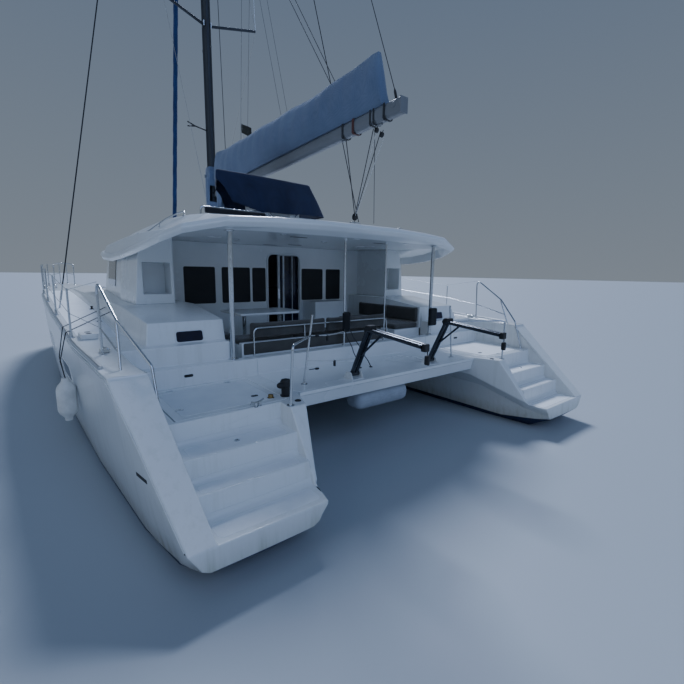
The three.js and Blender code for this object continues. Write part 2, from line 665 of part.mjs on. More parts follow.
function helmWheel() {
  const ring = new THREE.TorusGeometry(WHEEL.radius, WHEEL.rim, 8, 28).rotateX(Math.PI / 2);
  const hub = foreAft(50, 0, 0, -WHEEL.hub, WHEEL.hub, 16);
  const spokes = [0, 1, 2].map((i) => {
    const spoke = new THREE.CylinderGeometry(9, 9, WHEEL.radius - 20, 8);
    return spoke.rotateX(Math.PI / 2).translate(0, 0, (WHEEL.radius + 20) / 2).rotateY((i / 3) * 2 * Math.PI);
  });
  return joined([ring, hub, ...spokes]).translate(WHEEL.x, HELM.y0 - WHEEL.boss - WHEEL.hub - TOUCH, WHEEL.z);
}
add('helm_wheel', 'steel', helmWheel());

// Canvas cover: one soft hood over console and wheel, cut up at its port corner and open below
function helmCover() {
  const { aft, fore, top, cloth, drawIn } = COVER;
  const ring = (profile, y) => profile.map(([x, z]) => {
    const outboard = Math.min(Math.max((-700 - x) / 800, 0), 1);
    return [x + drawIn * outboard * ((y - aft) / (fore - aft)), y, z];
  });
  const outer = [[-1370, 3850], [-1230, 3620], [-700, 3500], [700, 3560], [330, top], [-1480, top], [-1520, 3960]];
  const inner = [[-1478, 3400], [746, 3400], [306, top - cloth], [-1442, top - cloth], [-1478, 3965]];
  const inside = loft([ring(inner, aft + cloth), ring(inner, fore - cloth)]);
  return carved(loft([ring(outer, aft), ring(outer, fore)]), [inside]);
}
add('helm_cover', 'canvas', helmCover());

// Bench back on its stainless frame, at the flybridge's aft end
function flybridgeBack() {
  const rail = tube([[-1950, -3400, FLY], [-1950, -3400, FLY + 170], [-800, -3400, FLY + 170], [-800, -3400, FLY]],
    14, 60);
  const pad = block(-1890, -860, -3440, -3360, FLY + 80, FLY + 175);
  return joined([rail, pad]);
}
add('flybridge_back', 'steel', flybridgeBack());

// Mast with its spreaders, stepped on the coachroof
const GOOSENECK = { y: 890, z: 4440 };
const MAST = { half: 95, chord: 280, foot: CROWN, hounds: 20100, spreader: 8430, tip: 1120 };

function mast() {
  const oval = [...Array(12).keys()].map((i) => {
    const angle = (i / 12) * 2 * Math.PI;
    return [Math.cos(angle) * MAST.half, MAST_Y + (Math.sin(angle) * MAST.chord) / 2];
  });
  const step = raised([[-190, MAST_Y - 230], [190, MAST_Y - 230], [190, MAST_Y + 230], [-190, MAST_Y + 230]],
    MAST.foot, MAST.foot + 60);
  const arms = [-1, 1].map((side) => tube([[side * 40, MAST_Y - 30, MAST.spreader],
    [side * MAST.tip, MAST_Y - 430, MAST.spreader + 90]], 32, 0, 8));
  const high = [-1, 1].map((side) => tube([[side * 40, MAST_Y - 30, 14500],
    [side * 900, MAST_Y - 330, 14580]], 28, 0, 8));
  const lugs = [-1, 1].map((side) => joined([
    block(-35, 35, GOOSENECK.y, MAST_Y, GOOSENECK.z + side * 60 - 10, GOOSENECK.z + side * 60 + 10),
    upright(35, 0, GOOSENECK.y, GOOSENECK.z + side * 60 - 10, GOOSENECK.z + side * 60 + 10),
  ]));
  return joined([raised(oval, MAST.foot, MAST_TOP), step, ...arms, ...high, ...lugs]);
}
add('mast', 'alloy', mast());

// Boom with the sail bag along it; both swing at the gooseneck
const BOOM = { fore: GOOSENECK.y - 140, aft: -5680, foreZ: GOOSENECK.z, aftZ: 4700, half: 75, height: 105 };

function boomPoint(y) {
  const share = (y - BOOM.fore) / (BOOM.aft - BOOM.fore);
  return BOOM.foreZ + share * (BOOM.aftZ - BOOM.foreZ);
}

function boomRing(y, wide, low, high, round = 0.55) {
  const z = boomPoint(y);
  return [[-wide * round, y, z + low], [wide * round, y, z + low], [wide, y, z + low * (1 - round)],
    [wide, y, z + high * (1 - round)], [wide * round, y, z + high], [-wide * round, y, z + high],
    [-wide, y, z + high * (1 - round)], [-wide, y, z + low * (1 - round)]];
}

function boom() {
  const { half, height } = BOOM;
  const tongue = upright(30, 0, GOOSENECK.y, GOOSENECK.z - 50 + TOUCH, GOOSENECK.z + 50 - TOUCH);
  const neck = foreAft(28, 0, GOOSENECK.z, BOOM.fore - 60, GOOSENECK.y, 12);
  const spar = loft([boomRing(BOOM.aft, half, -height, height), boomRing(BOOM.fore, half, -height, height)]);
  return joined([spar, neck, tongue]);
}
add('boom', 'alloy', boom());

const BAG_RINGS = [
  { y: 700, wide: 130, high: 880 }, { y: -300, wide: 210, high: 800 }, { y: -2000, wide: 220, high: 760 },
  { y: -3800, wide: 190, high: 700 }, { y: -5050, wide: 130, high: 760 }, { y: -5330, wide: 90, high: 330 },
];

function sailBag() {
  const ring = ({ y, wide, high }) => {
    const z = boomPoint(y) + BOOM.height + TOUCH;
    const side = [[wide * 0.5, 0], [wide, 0.35], [wide * 0.7, 0.8], [25, 1]];
    const other = side.map(([x, share]) => [-x, share]).reverse();
    return [...side, ...other].map(([x, share]) => [x, y, z + high * share]);
  };
  return loft(BAG_RINGS.map(ring).reverse());
}
add('sail_bag', 'bag', sailBag());

// What stands on deck is trimmed to the hull's surface
const hullRaised = solid(hull.clone().translate(0, 0, TOUCH));

function onHull(geometry) {
  return shape(solid(geometry).subtract(hullRaised));
}

// Main stays: shrouds from the side decks, and the forestay with the sail furled round it
function shroud() {
  return onHull(tube([[CHAINPLATE, -1210, 1800], [98, MAST_Y - 60, MAST.hounds]], 9, 0, 6));
}
bothSides('shroud', 'steel', shroud());

const BEAM = { radius: 70, half: 2700, z: 1900, lug: 2128 };

function forestay() {
  const foot = new THREE.Vector3(0, CROSSBEAM, BEAM.lug + 2.3);
  const head = new THREE.Vector3(0, MAST_Y + MAST.chord / 2 + 12, MAST.hounds);
  const at = (share) => foot.clone().lerp(head, share).toArray();
  return joined([tube([at(0), at(1)], 10, 0, 6), tube([at(0.02), at(0.035)], 90, 0, 12),
    tube([at(0.045), at(0.5), at(0.93)], 68, 0, 10)]);
}
add('forestay_sail', 'canvas', forestay());

// Forward crossbeam between the bows, and the net behind it
function crossbeam() {
  const bar = new THREE.CylinderGeometry(BEAM.radius, BEAM.radius, 2 * BEAM.half, 16).rotateZ(Math.PI / 2);
  const lug = upright(25, 0, CROSSBEAM, BEAM.z, BEAM.lug, 10);
  return joined([bar.translate(0, CROSSBEAM, BEAM.z), lug]);
}
add('crossbeam', 'alloy', shape(solid(crossbeam()).subtract(hullSides())));

function hullSides() {
  return solid(hull.clone().translate(-TOUCH, 0, 0)).add(solid(mirrored(hull).translate(TOUCH, 0, 0)));
}

function trampoline() {
  const net = raised([[-2700, NACELLE_FRONT + 20], [2700, NACELLE_FRONT + 20], [2700, CROSSBEAM - 80],
    [-2700, CROSSBEAM - 80]], 1900, 1920);
  return shape(solid(net).subtract(hullSides()));
}
add('trampoline', 'net', trampoline());

function sheerAt(y) {
  const i = Math.max(1, HULL_SECTIONS.findIndex((s) => s.y >= y));
  const [a, b] = [HULL_SECTIONS[i - 1], HULL_SECTIONS[i]];
  const share = (y - a.y) / (b.y - a.y);
  return { x: a.sheer + share * (b.sheer - a.sheer), z: a.top + share * (b.top - a.top) };
}

// Toe rail along the sheer with the stanchions that stand in it
const STANCHIONS = [-3700, -2050, -420, 1250, 2900, 4500];
const RAIL_HEIGHT = 640;
const RAIL_TUBE = 12.5;

function sideRail() {
  const stations = [-5300, -4000, -1200, 1500, 3400, 3900, 5400, 6300];
  const toe = loft(stations.map((y) => {
    const { x, z } = sheerAt(y);
    return [[x - 55, y, z - 10], [x - 20, y, z - 10], [x - 20, y, z + 30], [x - 55, y, z + 30]];
  }));
  const posts = STANCHIONS.map((y) => {
    const { x, z } = sheerAt(y);
    return upright(RAIL_TUBE, x - 38, y, z, z + RAIL_HEIGHT, 8);
  });
  return onHull(joined([toe, ...posts]));
}
bothSides('side_rail', 'steel', sideRail());

// Pulpit: a rail round the bow on four legs
function pulpit() {
  const at = (y, inboard) => {
    const { x, z } = sheerAt(y);
    return [x - inboard, y, z];
  };
  const lift = ([x, y, z], rise) => [x, y, z + rise];
  const [outAft, outFore, inFore, inAft] = [at(5450, 90), at(6560, 70), at(6560, 260), at(5750, 560)];
  const top = tube([lift(outAft, -20), lift(outAft, 620), lift(outFore, 660), lift(at(6900, 60), 650),
    lift(inFore, 660), lift(inAft, 620), lift(inAft, -20)], 14, 110);
  const legs = [outFore, inFore].map((foot) => tube([lift(foot, -20), lift(foot, 655)], 12, 0));
  const sides = [[outAft, outFore], [inAft, inFore]];
  const middle = sides.map(([aft, fore]) => tube([lift(aft, 320), lift(fore, 330)], 10));
  return onHull(joined([top, ...legs, ...middle]));
}
bothSides('pulpit', 'steel', pulpit());

// Quarter rail: from the side deck down to the hatch deck along the bulwark
function quarterRail() {
  const rail = tube([[3560, -4660, 1540], [3560, -4620, 2390], [3490, -5260, 1995], [3300, -5700, 1600],
    [3285, -5870, 1080]], 14, 90);
  const post = tube([[3520, -5430, 1500], [3492, -5235, 2012]], 13, 0);
  const bar = tube([[3560, -4650, 1860], [3512, -5360, 1700]], 10, 0);
  return onHull(joined([rail, post, bar]));
}
bothSides('quarter_rail', 'steel', quarterRail());

// Stern handrail on the inner bulwark, beside the stairs
function sternRail() {
  const rail = tube([[2070, -6180, 980], [2050, -6200, 1750], [1415, -5578, 1715]], 14, 70);
  const post = tube([[1500, -5570, SOLE + TOUCH], [1500, -5570, 1150], [1385, -5580, 1965]], 13, 60);
  return onHull(joined([rail, post]));
}
bothSides('stern_rail', 'steel', sternRail());

// Davits: twin tubes from a pivot on the aft beam, with an elbow cap and a sheave block at the end
function davit() {
  const { x, foot, elbow, end, spread, radius, inEars } = DAVIT;
  const bends = [foot, elbow, end];
  const arms = [x - spread, x + spread].map((at) => tube(bends.map((point) => [at, ...point]), radius, 70));
  const pivot = new THREE.CylinderGeometry(32, 32, 2 * (inEars - TOUCH), 12).rotateZ(Math.PI / 2);
  const side = [[-6080, 1740], [-5900, 1690], [-5880, 1790], [-5980, 1860], [-6080, 1850]];
  const cap = across(side, x - 60, x + 60);
  const sheave = block(x - 45, x + 45, end[0] - 60, end[0] + 60, end[1] - 70, end[1] + 40);
  const strut = tube([[x, -5840, 1440], [x, -6230, 1770]], 14, 0);
  const tie = block(x - 40, x + 40, -5850, -5800, 1410, 1470);
  return joined([...arms, pivot.translate(x, ...foot), cap, sheave, strut, tie]);
}

bothSides('davit', 'alloy', davit());

// Valise strapped under the aft beam, and the fender on the port side
function valise() {
  const top = BEAM_UNDER - TOUCH;
  const profile = [[-700, top], [-760, 860], [-760, 700], [-680, 610], [180, 610], [270, 700], [270, 860],
    [210, top]];
  return along(profile, -5780, -5420);
}
add('valise', 'coated', valise());

const FENDER = { x: -3850.2, y: -3400, z: 780, radius: 118, half: 290 };

function fender() {
  const { radius, half } = FENDER;
  const end = [[0, half], [45, half], [50, half - 40], [radius * 0.8, half - 95], [radius, half - 160]];
  const profile = [...end.map(([r, z]) => [r, -z]), ...end.reverse()];
  const lathe = new THREE.LatheGeometry(profile.map(([r, z]) => new THREE.Vector2(r, z)), 16);
  return lathe.rotateX(Math.PI / 2).translate(FENDER.x, FENDER.y, FENDER.z);
}
add('fender', 'vinyl', fender());

export default boat;
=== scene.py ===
# Sailing catamaran: the finished look of a 14 m cruising catamaran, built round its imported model.
# Metres, +X to starboard, +Y to the bow, +Z up, and the water's surface at z = 0.
import math

import bmesh
import bpy
from mathutils import Matrix, Vector, noise
from mathutils.bvhtree import BVHTree


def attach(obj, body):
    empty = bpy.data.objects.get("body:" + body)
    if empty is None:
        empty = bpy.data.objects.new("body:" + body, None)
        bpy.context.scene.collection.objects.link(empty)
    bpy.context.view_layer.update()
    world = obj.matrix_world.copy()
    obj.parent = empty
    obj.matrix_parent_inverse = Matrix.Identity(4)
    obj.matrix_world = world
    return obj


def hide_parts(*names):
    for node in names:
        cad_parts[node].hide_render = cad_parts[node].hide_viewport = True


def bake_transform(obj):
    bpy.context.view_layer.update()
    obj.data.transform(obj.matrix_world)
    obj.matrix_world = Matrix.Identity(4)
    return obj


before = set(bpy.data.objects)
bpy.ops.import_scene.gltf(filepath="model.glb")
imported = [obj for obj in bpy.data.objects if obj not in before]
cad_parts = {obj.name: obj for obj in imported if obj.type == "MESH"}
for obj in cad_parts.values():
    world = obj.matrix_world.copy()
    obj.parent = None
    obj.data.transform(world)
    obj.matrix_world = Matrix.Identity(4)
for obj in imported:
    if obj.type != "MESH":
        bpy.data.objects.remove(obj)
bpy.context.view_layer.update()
scene = bpy.context.scene

# Camera
# It stands off the port quarter at head height, turned to starboard and a little down, with a wide lens.
CAMERA_AT = Vector((-4.211, -9.735, 2.50))
YAW, PITCH, ROLL = (math.radians(angle) for angle in (38.49, 9.76, 0.86))
FOCAL_PIXELS = 403.98
FRAME_PIXELS = 684
SENSOR = 36

level = Vector((math.cos(YAW), -math.sin(YAW), 0))
ahead = Vector((math.sin(YAW) * math.cos(PITCH), math.cos(YAW) * math.cos(PITCH), -math.sin(PITCH)))
upward = level.cross(ahead)
right = level * math.cos(ROLL) + upward * math.sin(ROLL)
above = upward * math.cos(ROLL) - level * math.sin(ROLL)
camera = bpy.data.objects.new("camera", bpy.data.cameras.new("camera"))
camera.matrix_world = Matrix.Translation(CAMERA_AT) @ Matrix((right, above, -ahead)).transposed().to_4x4()
camera.data.sensor_width = SENSOR
camera.data.lens = FOCAL_PIXELS / FRAME_PIXELS * SENSOR
camera.data.clip_end = 600
scene.collection.objects.link(camera)
scene.camera = camera


# Floor and light
# A plain pale floor lies at the waterline. A broad key light stands high ahead of the bow, as in the
# photograph, so the stern's faces are in soft shade, and a cooler fill comes from astern.
def linear(code):
    """A hex sRGB colour as the linear one that the shaders take."""
    parts = [int(code[i:i + 2], 16) / 255 for i in (1, 3, 5)]
    return (*[c / 12.92 if c <= 0.04045 else ((c + 0.055) / 1.055) ** 2.4 for c in parts], 1.0)


def node(tree, kind, values=None, links=None, **settings):
    """Adds a node with its settings, its sockets' values and its links from other nodes' sockets."""
    made = tree.nodes.new(kind)
    for name, value in settings.items():
        setattr(made, name, value)
    for socket, value in (values or {}).items():
        made.inputs[socket].default_value = value
    for socket, source in (links or {}).items():
        tree.links.new(source, made.inputs[socket])
    return made


def finish(name, **values):
    """A new material: itself, its node tree, its surface shader and the object's own coordinates."""
    material = bpy.data.materials.new(name)
    material.use_nodes = True
    tree = material.node_tree
    shader = tree.nodes["Principled BSDF"]
    for socket, value in values.items():
        shader.inputs[socket.replace("_", " ")].default_value = value
    return material, tree, shader, node(tree, "ShaderNodeTexCoord").outputs["Object"]


FLOOR_REACH = 260
floor_mesh = bpy.data.meshes.new("floor")
floor_mesh.from_pydata([(x, y, 0) for x, y in ((-1, -1), (1, -1), (1, 1), (-1, 1))], [], [(0, 1, 2, 3)])
floor_mesh.transform(Matrix.Diagonal((FLOOR_REACH, FLOOR_REACH, 1, 1)))
floor = bpy.data.objects.new("floor", floor_mesh)
scene.collection.objects.link(floor)
# Matt paint, so that the floor takes the boat's shadow and mirrors nothing
floor_paint = finish("matt_floor_paint", Base_Color=linear("#A9B0B6"), Roughness=0.65)[0]
floor_mesh.materials.append(floor_paint)

# Each light: from where (degrees round from the bow and up), strength, softness in degrees, colour
LIGHTS = {
    "key": (34, 46, 3.4, 14, "#D9E5FF"),
    "fill": (186, 36, 0.72, 45, "#A9C6FF"),
    "port": (-96, 30, 0.22, 40, "#E6ECF6"),
}
for name, (bearing, height, strength, softness, colour) in LIGHTS.items():
    sun = bpy.data.lights.new(name, "SUN")
    sun.energy = strength
    sun.angle = math.radians(softness)
    sun.color = linear(colour)[:3]
    lamp = bpy.data.objects.new(name, sun)
    bearing, height = math.radians(bearing), math.radians(height)
    toward = Vector((math.sin(bearing) * math.cos(height), math.cos(bearing) * math.cos(height),
                     math.sin(height)))
    lamp.rotation_euler = toward.to_track_quat("Z", "Y").to_euler()
    scene.collection.objects.link(lamp)

SKY_STRENGTH = 0.36
world = bpy.data.worlds.new("studio")
world.use_nodes = True
scene.world = world
tree = world.node_tree
direction = node(tree, "ShaderNodeTexCoord").outputs["Generated"]
height = node(tree, "ShaderNodeSeparateXYZ", links={"Vector": direction}).outputs["Z"]
share = node(tree, "ShaderNodeMapRange", {"From Min": -0.1, "From Max": 0.9}, {"Value": height})
sky = node(tree, "ShaderNodeMix", {"A": linear("#CBD8E6"), "B": linear("#7C9DCB")},
           {"Factor": share.outputs["Result"]}, data_type="RGBA").outputs["Result"]
tree.nodes["Background"].inputs["Strength"].default_value = SKY_STRENGTH
tree.links.new(sky, tree.nodes["Background"].inputs["Color"])


# Hulls
# Two foam-cored glassfibre mouldings, joined to the deck moulding at a capped flange along the sheer. The
# white gelcoat is polished, with the dark antifouling paint below the waterline.
def flatten(item):
    """Turns what the modifiers make into the object's own mesh, and drops them."""
    graph = bpy.context.evaluated_depsgraph_get()
    made = bpy.data.meshes.new_from_object(item.evaluated_get(graph))
    item.modifiers.clear()
    item.data = made


def place(name, shape, material, body="root", stands_for=(), smooth=32):
    """Makes the shape an object with its finish, shaded smooth below an angle, and rides it on its body."""
    mesh = bpy.data.meshes.new(name)
    shape.to_mesh(mesh)
    shape.free()
    for each in material if isinstance(material, (list, tuple)) else [material]:
        mesh.materials.append(each)
    mesh.shade_smooth()
    mesh.set_sharp_from_angle(angle=math.radians(smooth))
    item = bpy.data.objects.new(name, mesh)
    scene.collection.objects.link(item)
    level = item.modifiers.new("level", "WEIGHTED_NORMAL")
    level.keep_sharp = True
    flatten(item)
    if stands_for:
        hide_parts(*stands_for)
    if body:
        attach(item, body)
    return item


def outward(shape):
    """Turns all of a shape's faces outward."""
    bmesh.ops.recalc_face_normals(shape, faces=shape.faces)
    return shape


def softened(name, width, angle=24, steps=3):
    """A CAD node's surface, joined up, with its edges rounded."""
    shape = bmesh.new()
    shape.from_mesh(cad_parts[name].data)
    bmesh.ops.remove_doubles(shape, verts=shape.verts, dist=0.0006)
    sharp = [e for e in shape.edges if e.is_manifold and e.calc_face_angle(0) > math.radians(angle)]
    bmesh.ops.bevel(shape, geom=sharp, offset=width, segments=steps, profile=0.5, affect="EDGES",
                    clamp_overlap=False, miter_outer="ARC")
    return outward(shape)


def moulded(name, part, material, slot, edge, angle=24, steps=3, smooth=32, body="root"):
    """Puts a CAD node's own surface in its place, with its edges rounded to a radius."""
    return place(name, softened(part, edge, angle, steps), material, body, [part], smooth)


def dressed(tree, shader, **sources):
    """Links the surface shader's inputs."""
    for socket, source in sources.items():
        tree.links.new(source, shader.inputs[socket.replace("_", " ")])


def grained(name, light, dark, patch, grain, depth, rough, **values):
    """A surface that drifts between two tones in patches, over a fine grain of a depth in metres."""
    material, tree, shader, spot = finish(name, **values)
    drift = node(tree, "ShaderNodeTexNoise", {"Scale": 1 / patch, "Detail": 4, "Roughness": 0.6},
                 {"Vector": spot}).outputs["Fac"]
    tone = node(tree, "ShaderNodeMapRange", {"From Min": 0.38, "From Max": 0.68}, {"Value": drift})
    mix = node(tree, "ShaderNodeMix", {"A": linear(light), "B": linear(dark)},
               {"Factor": tone.outputs["Result"]}, data_type="RGBA")
    gloss = node(tree, "ShaderNodeMapRange", {"To Min": rough[0], "To Max": rough[1]}, {"Value": drift})
    fine = node(tree, "ShaderNodeTexNoise", {"Scale": 1 / grain, "Detail": 2}, {"Vector": spot})
    bump = node(tree, "ShaderNodeBump", {"Strength": 0.6, "Distance": depth}, {"Height": fine.outputs["Fac"]})
    dressed(tree, shader, Base_Color=mix.outputs["Result"], Roughness=gloss.outputs["Result"],
            Normal=bump.outputs["Normal"])
    return material


# Polished gelcoat: bright and glassy, with a faint orange peel and a few dulled patches
gelcoat = grained("polished_gelcoat", "#E9ECEC", "#DDE1E2", 1.4, 0.03, 0.0002, (0.16, 0.34),
                  Coat_Weight=0.25, Coat_Roughness=0.08, IOR=1.52)

# The topsides' gelcoat runs down to a waterline, with scum just above it and run marks below the deck edge
PAINT_LINE, STERN_RISE, PAINT_EDGE, SCUM_REACH = 0.075, 0.215, 0.002, 0.22
STERN_FROM, STERN_TO = -6.15, -6.98
topsides, tree, shader, spot = finish("topsides_gelcoat_and_antifouling", Coat_Weight=0.2,
                                      Coat_Roughness=0.1)
axes = node(tree, "ShaderNodeSeparateXYZ", links={"Vector": spot}).outputs
climb = {"From Min": STERN_FROM, "From Max": STERN_TO, "To Max": STERN_RISE - PAINT_LINE}
rise = node(tree, "ShaderNodeMapRange", climb, {"Value": axes["Y"]}).outputs["Result"]
line = node(tree, "ShaderNodeMath", {1: PAINT_LINE}, {0: rise}, operation="ADD").outputs[0]
gap = node(tree, "ShaderNodeMath", links={0: axes["Z"], 1: line}, operation="SUBTRACT").outputs[0]
painted = node(tree, "ShaderNodeMapRange", {"From Min": PAINT_EDGE, "From Max": -PAINT_EDGE},
               {"Value": gap}).outputs["Result"]
near = node(tree, "ShaderNodeMapRange", {"From Min": SCUM_REACH, "From Max": 0.0},
            {"Value": gap}).outputs["Result"]
stretch = node(tree, "ShaderNodeMapping", {"Scale": (9, 9, 0.8)}, {"Vector": spot}).outputs["Vector"]
runs = node(tree, "ShaderNodeTexNoise", {"Scale": 1.3, "Detail": 5, "Roughness": 0.65},
            {"Vector": stretch}).outputs["Fac"]
streak = node(tree, "ShaderNodeMapRange", {"From Min": 0.5, "From Max": 0.8, "To Max": 0.28},
              {"Value": runs}).outputs["Result"]
stain = node(tree, "ShaderNodeMath", links={0: near, 1: runs, 2: streak},
             operation="MULTIPLY_ADD").outputs[0]
clean = node(tree, "ShaderNodeMix", {"A": linear("#E8EBEB"), "B": linear("#B6B7A6")}, {"Factor": stain},
             data_type="RGBA").outputs["Result"]
hull_colour = node(tree, "ShaderNodeMix", {"B": linear("#16264A")}, {"Factor": painted, "A": clean},
                   data_type="RGBA")
dull = node(tree, "ShaderNodeMapRange", {"To Min": 0.2, "To Max": 0.85}, {"Value": painted})
peel = node(tree, "ShaderNodeTexNoise", {"Scale": 40, "Detail": 2}, {"Vector": spot}).outputs["Fac"]
bump = node(tree, "ShaderNodeBump", {"Strength": 0.5, "Distance": 0.0002}, {"Height": peel})
dressed(tree, shader, Base_Color=hull_colour.outputs["Result"], Roughness=dull.outputs["Result"],
        Normal=bump.outputs["Normal"])

SIDES = {"port": -1, "starboard": 1}
for side in SIDES:
    moulded(f"hull_moulding_{side}", f"hull_{side}", topsides, "gelcoat", 0.014)


# Deck, saloon and hardtop mouldings
# Glassfibre mouldings bonded to the hulls, with every edge rounded for the mould's release.
# Each: its name, its part and its edges' radius. The roof's shallow bends are rounded too, and shaded smooth.
for name, part, edge, *look in (("deck", "bridge_deck", 0.012), ("saloon", "saloon_shell", 0.010),
                                ("hardtop", "hardtop", 0.02, 12, 4, 60),
                                ("flybridge", "flybridge_coaming", 0.02),
                                ("helm_console", "helm_console", 0.012)):
    moulded(f"{name}_moulding", part, gelcoat, "gelcoat", edge, *look)
for side in SIDES:
    moulded(f"engine_lid_{side}", f"engine_hatch_{side}", gelcoat, "gelcoat", 0.006,
            body=f"engine_hatch_{side}")


# Handrails, stanchions and pulpits
# Bent and welded 28 mm stainless tube, electropolished, each foot on a round base plate through the deck.
# Two wires run through the stanchions from the quarter rail to the pulpit.
def skinned(rings, shape=None):
    """Joins rings of points, each turning the way the rings advance, into one closed skin."""
    shape = shape or bmesh.new()
    rows = [[shape.verts.new(point) for point in ring] for ring in rings]
    count = len(rows[0])
    for a, b in zip(rows, rows[1:]):
        for j in range(count):
            shape.faces.new((a[j], a[(j + 1) % count], b[(j + 1) % count], b[j]))
    shape.faces.new(rows[0][::-1])
    shape.faces.new(rows[-1])
    return shape


def circling(count):
    """The angles of as many points round a circle."""
    return [2 * math.pi * k / count for k in range(count)]


def rounded(corners, bend, steps=5):
    """The corners as a path whose inner corners are turned on the bend's radius."""
    corners = [Vector(corner) for corner in corners]
    path = [corners[0]]
    for before, corner, after in zip(corners, corners[1:], corners[2:]):
        back, on = before - corner, after - corner
        reach = min(bend * math.tan((math.pi - back.angle(on)) / 2), 0.48 * back.length, 0.48 * on.length)
        start, end = corner + back.normalized() * reach, corner + on.normalized() * reach
        for k in range(steps + 1):
            share = k / steps
            path.append(start.lerp(corner, share).lerp(corner.lerp(end, share), share))
    return path + [corners[-1]]


def pipe(path, radius, sides=10, shape=None, flat=1.0):
    """A tube along a path, round or flattened; the radius is one value, or one for each point."""
    path = [Vector(point) for point in path]
    radii = radius if isinstance(radius, (list, tuple)) else [radius] * len(path)
    heading = (path[1] - path[0]).normalized()
    across = heading.cross(Vector((0, 0, 1)))
    across = across.normalized() if across.length > 0.05 else Vector((1, 0, 0))
    rings = []
    for k, point in enumerate(path):
        back = path[k] - path[k - 1] if k else path[1] - path[0]
        on = path[k + 1] - path[k] if k < len(path) - 1 else back
        turned_to = (back.normalized() + on.normalized()).normalized()
        across = heading.rotation_difference(turned_to) @ across
        across = (across - turned_to * across.dot(turned_to)).normalized()
        heading = turned_to
        side = heading.cross(across)
        rings.append([point + (across * math.cos(t) + side * math.sin(t) * flat) * radii[k]
                      for t in circling(sides)])
    return skinned(rings, shape)


def turned(profile, at, axis=(0, 0, 1), sides=20, shape=None):
    """Turns rows of (radius, height) about an axis from a point."""
    at, axis = Vector(at), Vector(axis).normalized()
    across = axis.orthogonal().normalized()
    side = axis.cross(across)
    rings = [[at + axis * height + (across * math.cos(t) + side * math.sin(t)) * max(radius, 0.0004)
              for t in circling(sides)] for radius, height in profile]
    return skinned(rings, shape)


def box(low, high, round_off=0.0, steps=2, shape=None):
    """A block between two corners, its edges rounded off."""
    shape = shape or bmesh.new()
    size = [h - l for l, h in zip(low, high)]
    middle = [(l + h) / 2 for l, h in zip(low, high)]
    made = bmesh.ops.create_cube(shape, size=1,
                                 matrix=Matrix.Translation(middle) @ Matrix.Diagonal((*size, 1)))
    if round_off:
        edges = list(dict.fromkeys(edge for vert in made["verts"] for edge in vert.link_edges))
        bmesh.ops.bevel(shape, geom=edges, offset=round_off, segments=steps, profile=0.5, affect="EDGES")
    return shape


def prism(points, axis, start, stop, round_off=0.0, steps=2, shape=None):
    """A flat outline in the plane across an axis (0, 1 or 2), carried along it, its edges rounded off."""
    shape = shape or bmesh.new()
    before = set(shape.verts)
    place_at = lambda a, b, level: {0: (level, a, b), 1: (a, level, b), 2: (a, b, level)}[axis]
    skinned([[place_at(a, b, level) for a, b in points] for level in (start, stop)], shape)
    fresh = [vert for vert in shape.verts if vert not in before]
    faces = list(dict.fromkeys(face for vert in fresh for face in vert.link_faces))
    bmesh.ops.recalc_face_normals(shape, faces=faces)
    if round_off:
        bends = (edge for vert in fresh for edge in vert.link_edges if edge.calc_face_angle(0) > 0.3)
        bmesh.ops.bevel(shape, geom=list(dict.fromkeys(bends)), offset=round_off, segments=steps,
                        profile=0.5, affect="EDGES")
    return shape


def mirrored(points):
    """The same points on the other side of the centreline."""
    return [(-x, y, z) for x, y, z in points]


def brushed(name, colour, rough, grain, squeeze=(1, 1, 1), metallic=1.0, depth=0.0001, **values):
    """A metal whose fine scratches and gloss vary along one way, set by how each axis is squeezed."""
    material, tree, shader, spot = finish(name, Base_Color=linear(colour), Metallic=metallic, **values)
    along = node(tree, "ShaderNodeMapping", {"Scale": squeeze}, {"Vector": spot}).outputs["Vector"]
    scratch = node(tree, "ShaderNodeTexNoise", {"Scale": 1 / grain, "Detail": 4, "Roughness": 0.6},
                   {"Vector": along}).outputs["Fac"]
    reach = {"From Min": 0.3, "From Max": 0.7, "To Min": rough[0], "To Max": rough[1]}
    gloss = node(tree, "ShaderNodeMapRange", reach, {"Value": scratch})
    bump = node(tree, "ShaderNodeBump", {"Strength": 0.3, "Distance": depth}, {"Height": scratch})
    dressed(tree, shader, Roughness=gloss.outputs["Result"], Normal=bump.outputs["Normal"])
    return material


# Electropolished stainless: nearly a mirror, with water marks that dull it in patches
stainless = brushed("electropolished_stainless", "#C9CDD0", (0.10, 0.28), 0.05)

# The stern's rails as the starboard side has them, each a bent tube or a straight bar
QUARTER_RAIL = [(3.56, -4.66, 1.54), (3.56, -4.62, 2.39), (3.49, -5.26, 1.995), (3.30, -5.70, 1.60),
                (3.285, -5.87, 1.08)]
QUARTER_POST = [(3.52, -5.43, 1.50), (3.492, -5.235, 2.012)]
QUARTER_BAR = [(3.56, -4.65, 1.86), (3.512, -5.36, 1.70)]
STERN_RAIL = [(2.07, -6.18, 1.09), (2.05, -6.20, 1.75), (1.415, -5.578, 1.715)]
STERN_POST = [(1.50, -5.57, 1.101), (1.50, -5.57, 1.15), (1.385, -5.58, 1.965)]
BASE_PLATE = [(0.042, 0), (0.042, 0.004), (0.038, 0.007), (0.019, 0.008), (0.016, 0.030), (0.014, 0.032)]
STANCHIONS = (-3.70, -2.05, -0.42, 1.25, 2.90, 4.50)
# The sheer line: stations, breadth of the deck's edge and its height
SHEER = [(-6.98, 3.50, 1.48), (-5.81, 3.67, 1.52), (-4.0, 3.79, 1.59), (-1.2, 3.86, 1.82), (1.5, 3.84, 1.93),
         (3.4, 3.72, 1.96), (3.9, 3.67, 1.965), (5.4, 3.45, 1.99), (6.5, 3.22, 2.01), (6.98, 3.06, 2.02)]


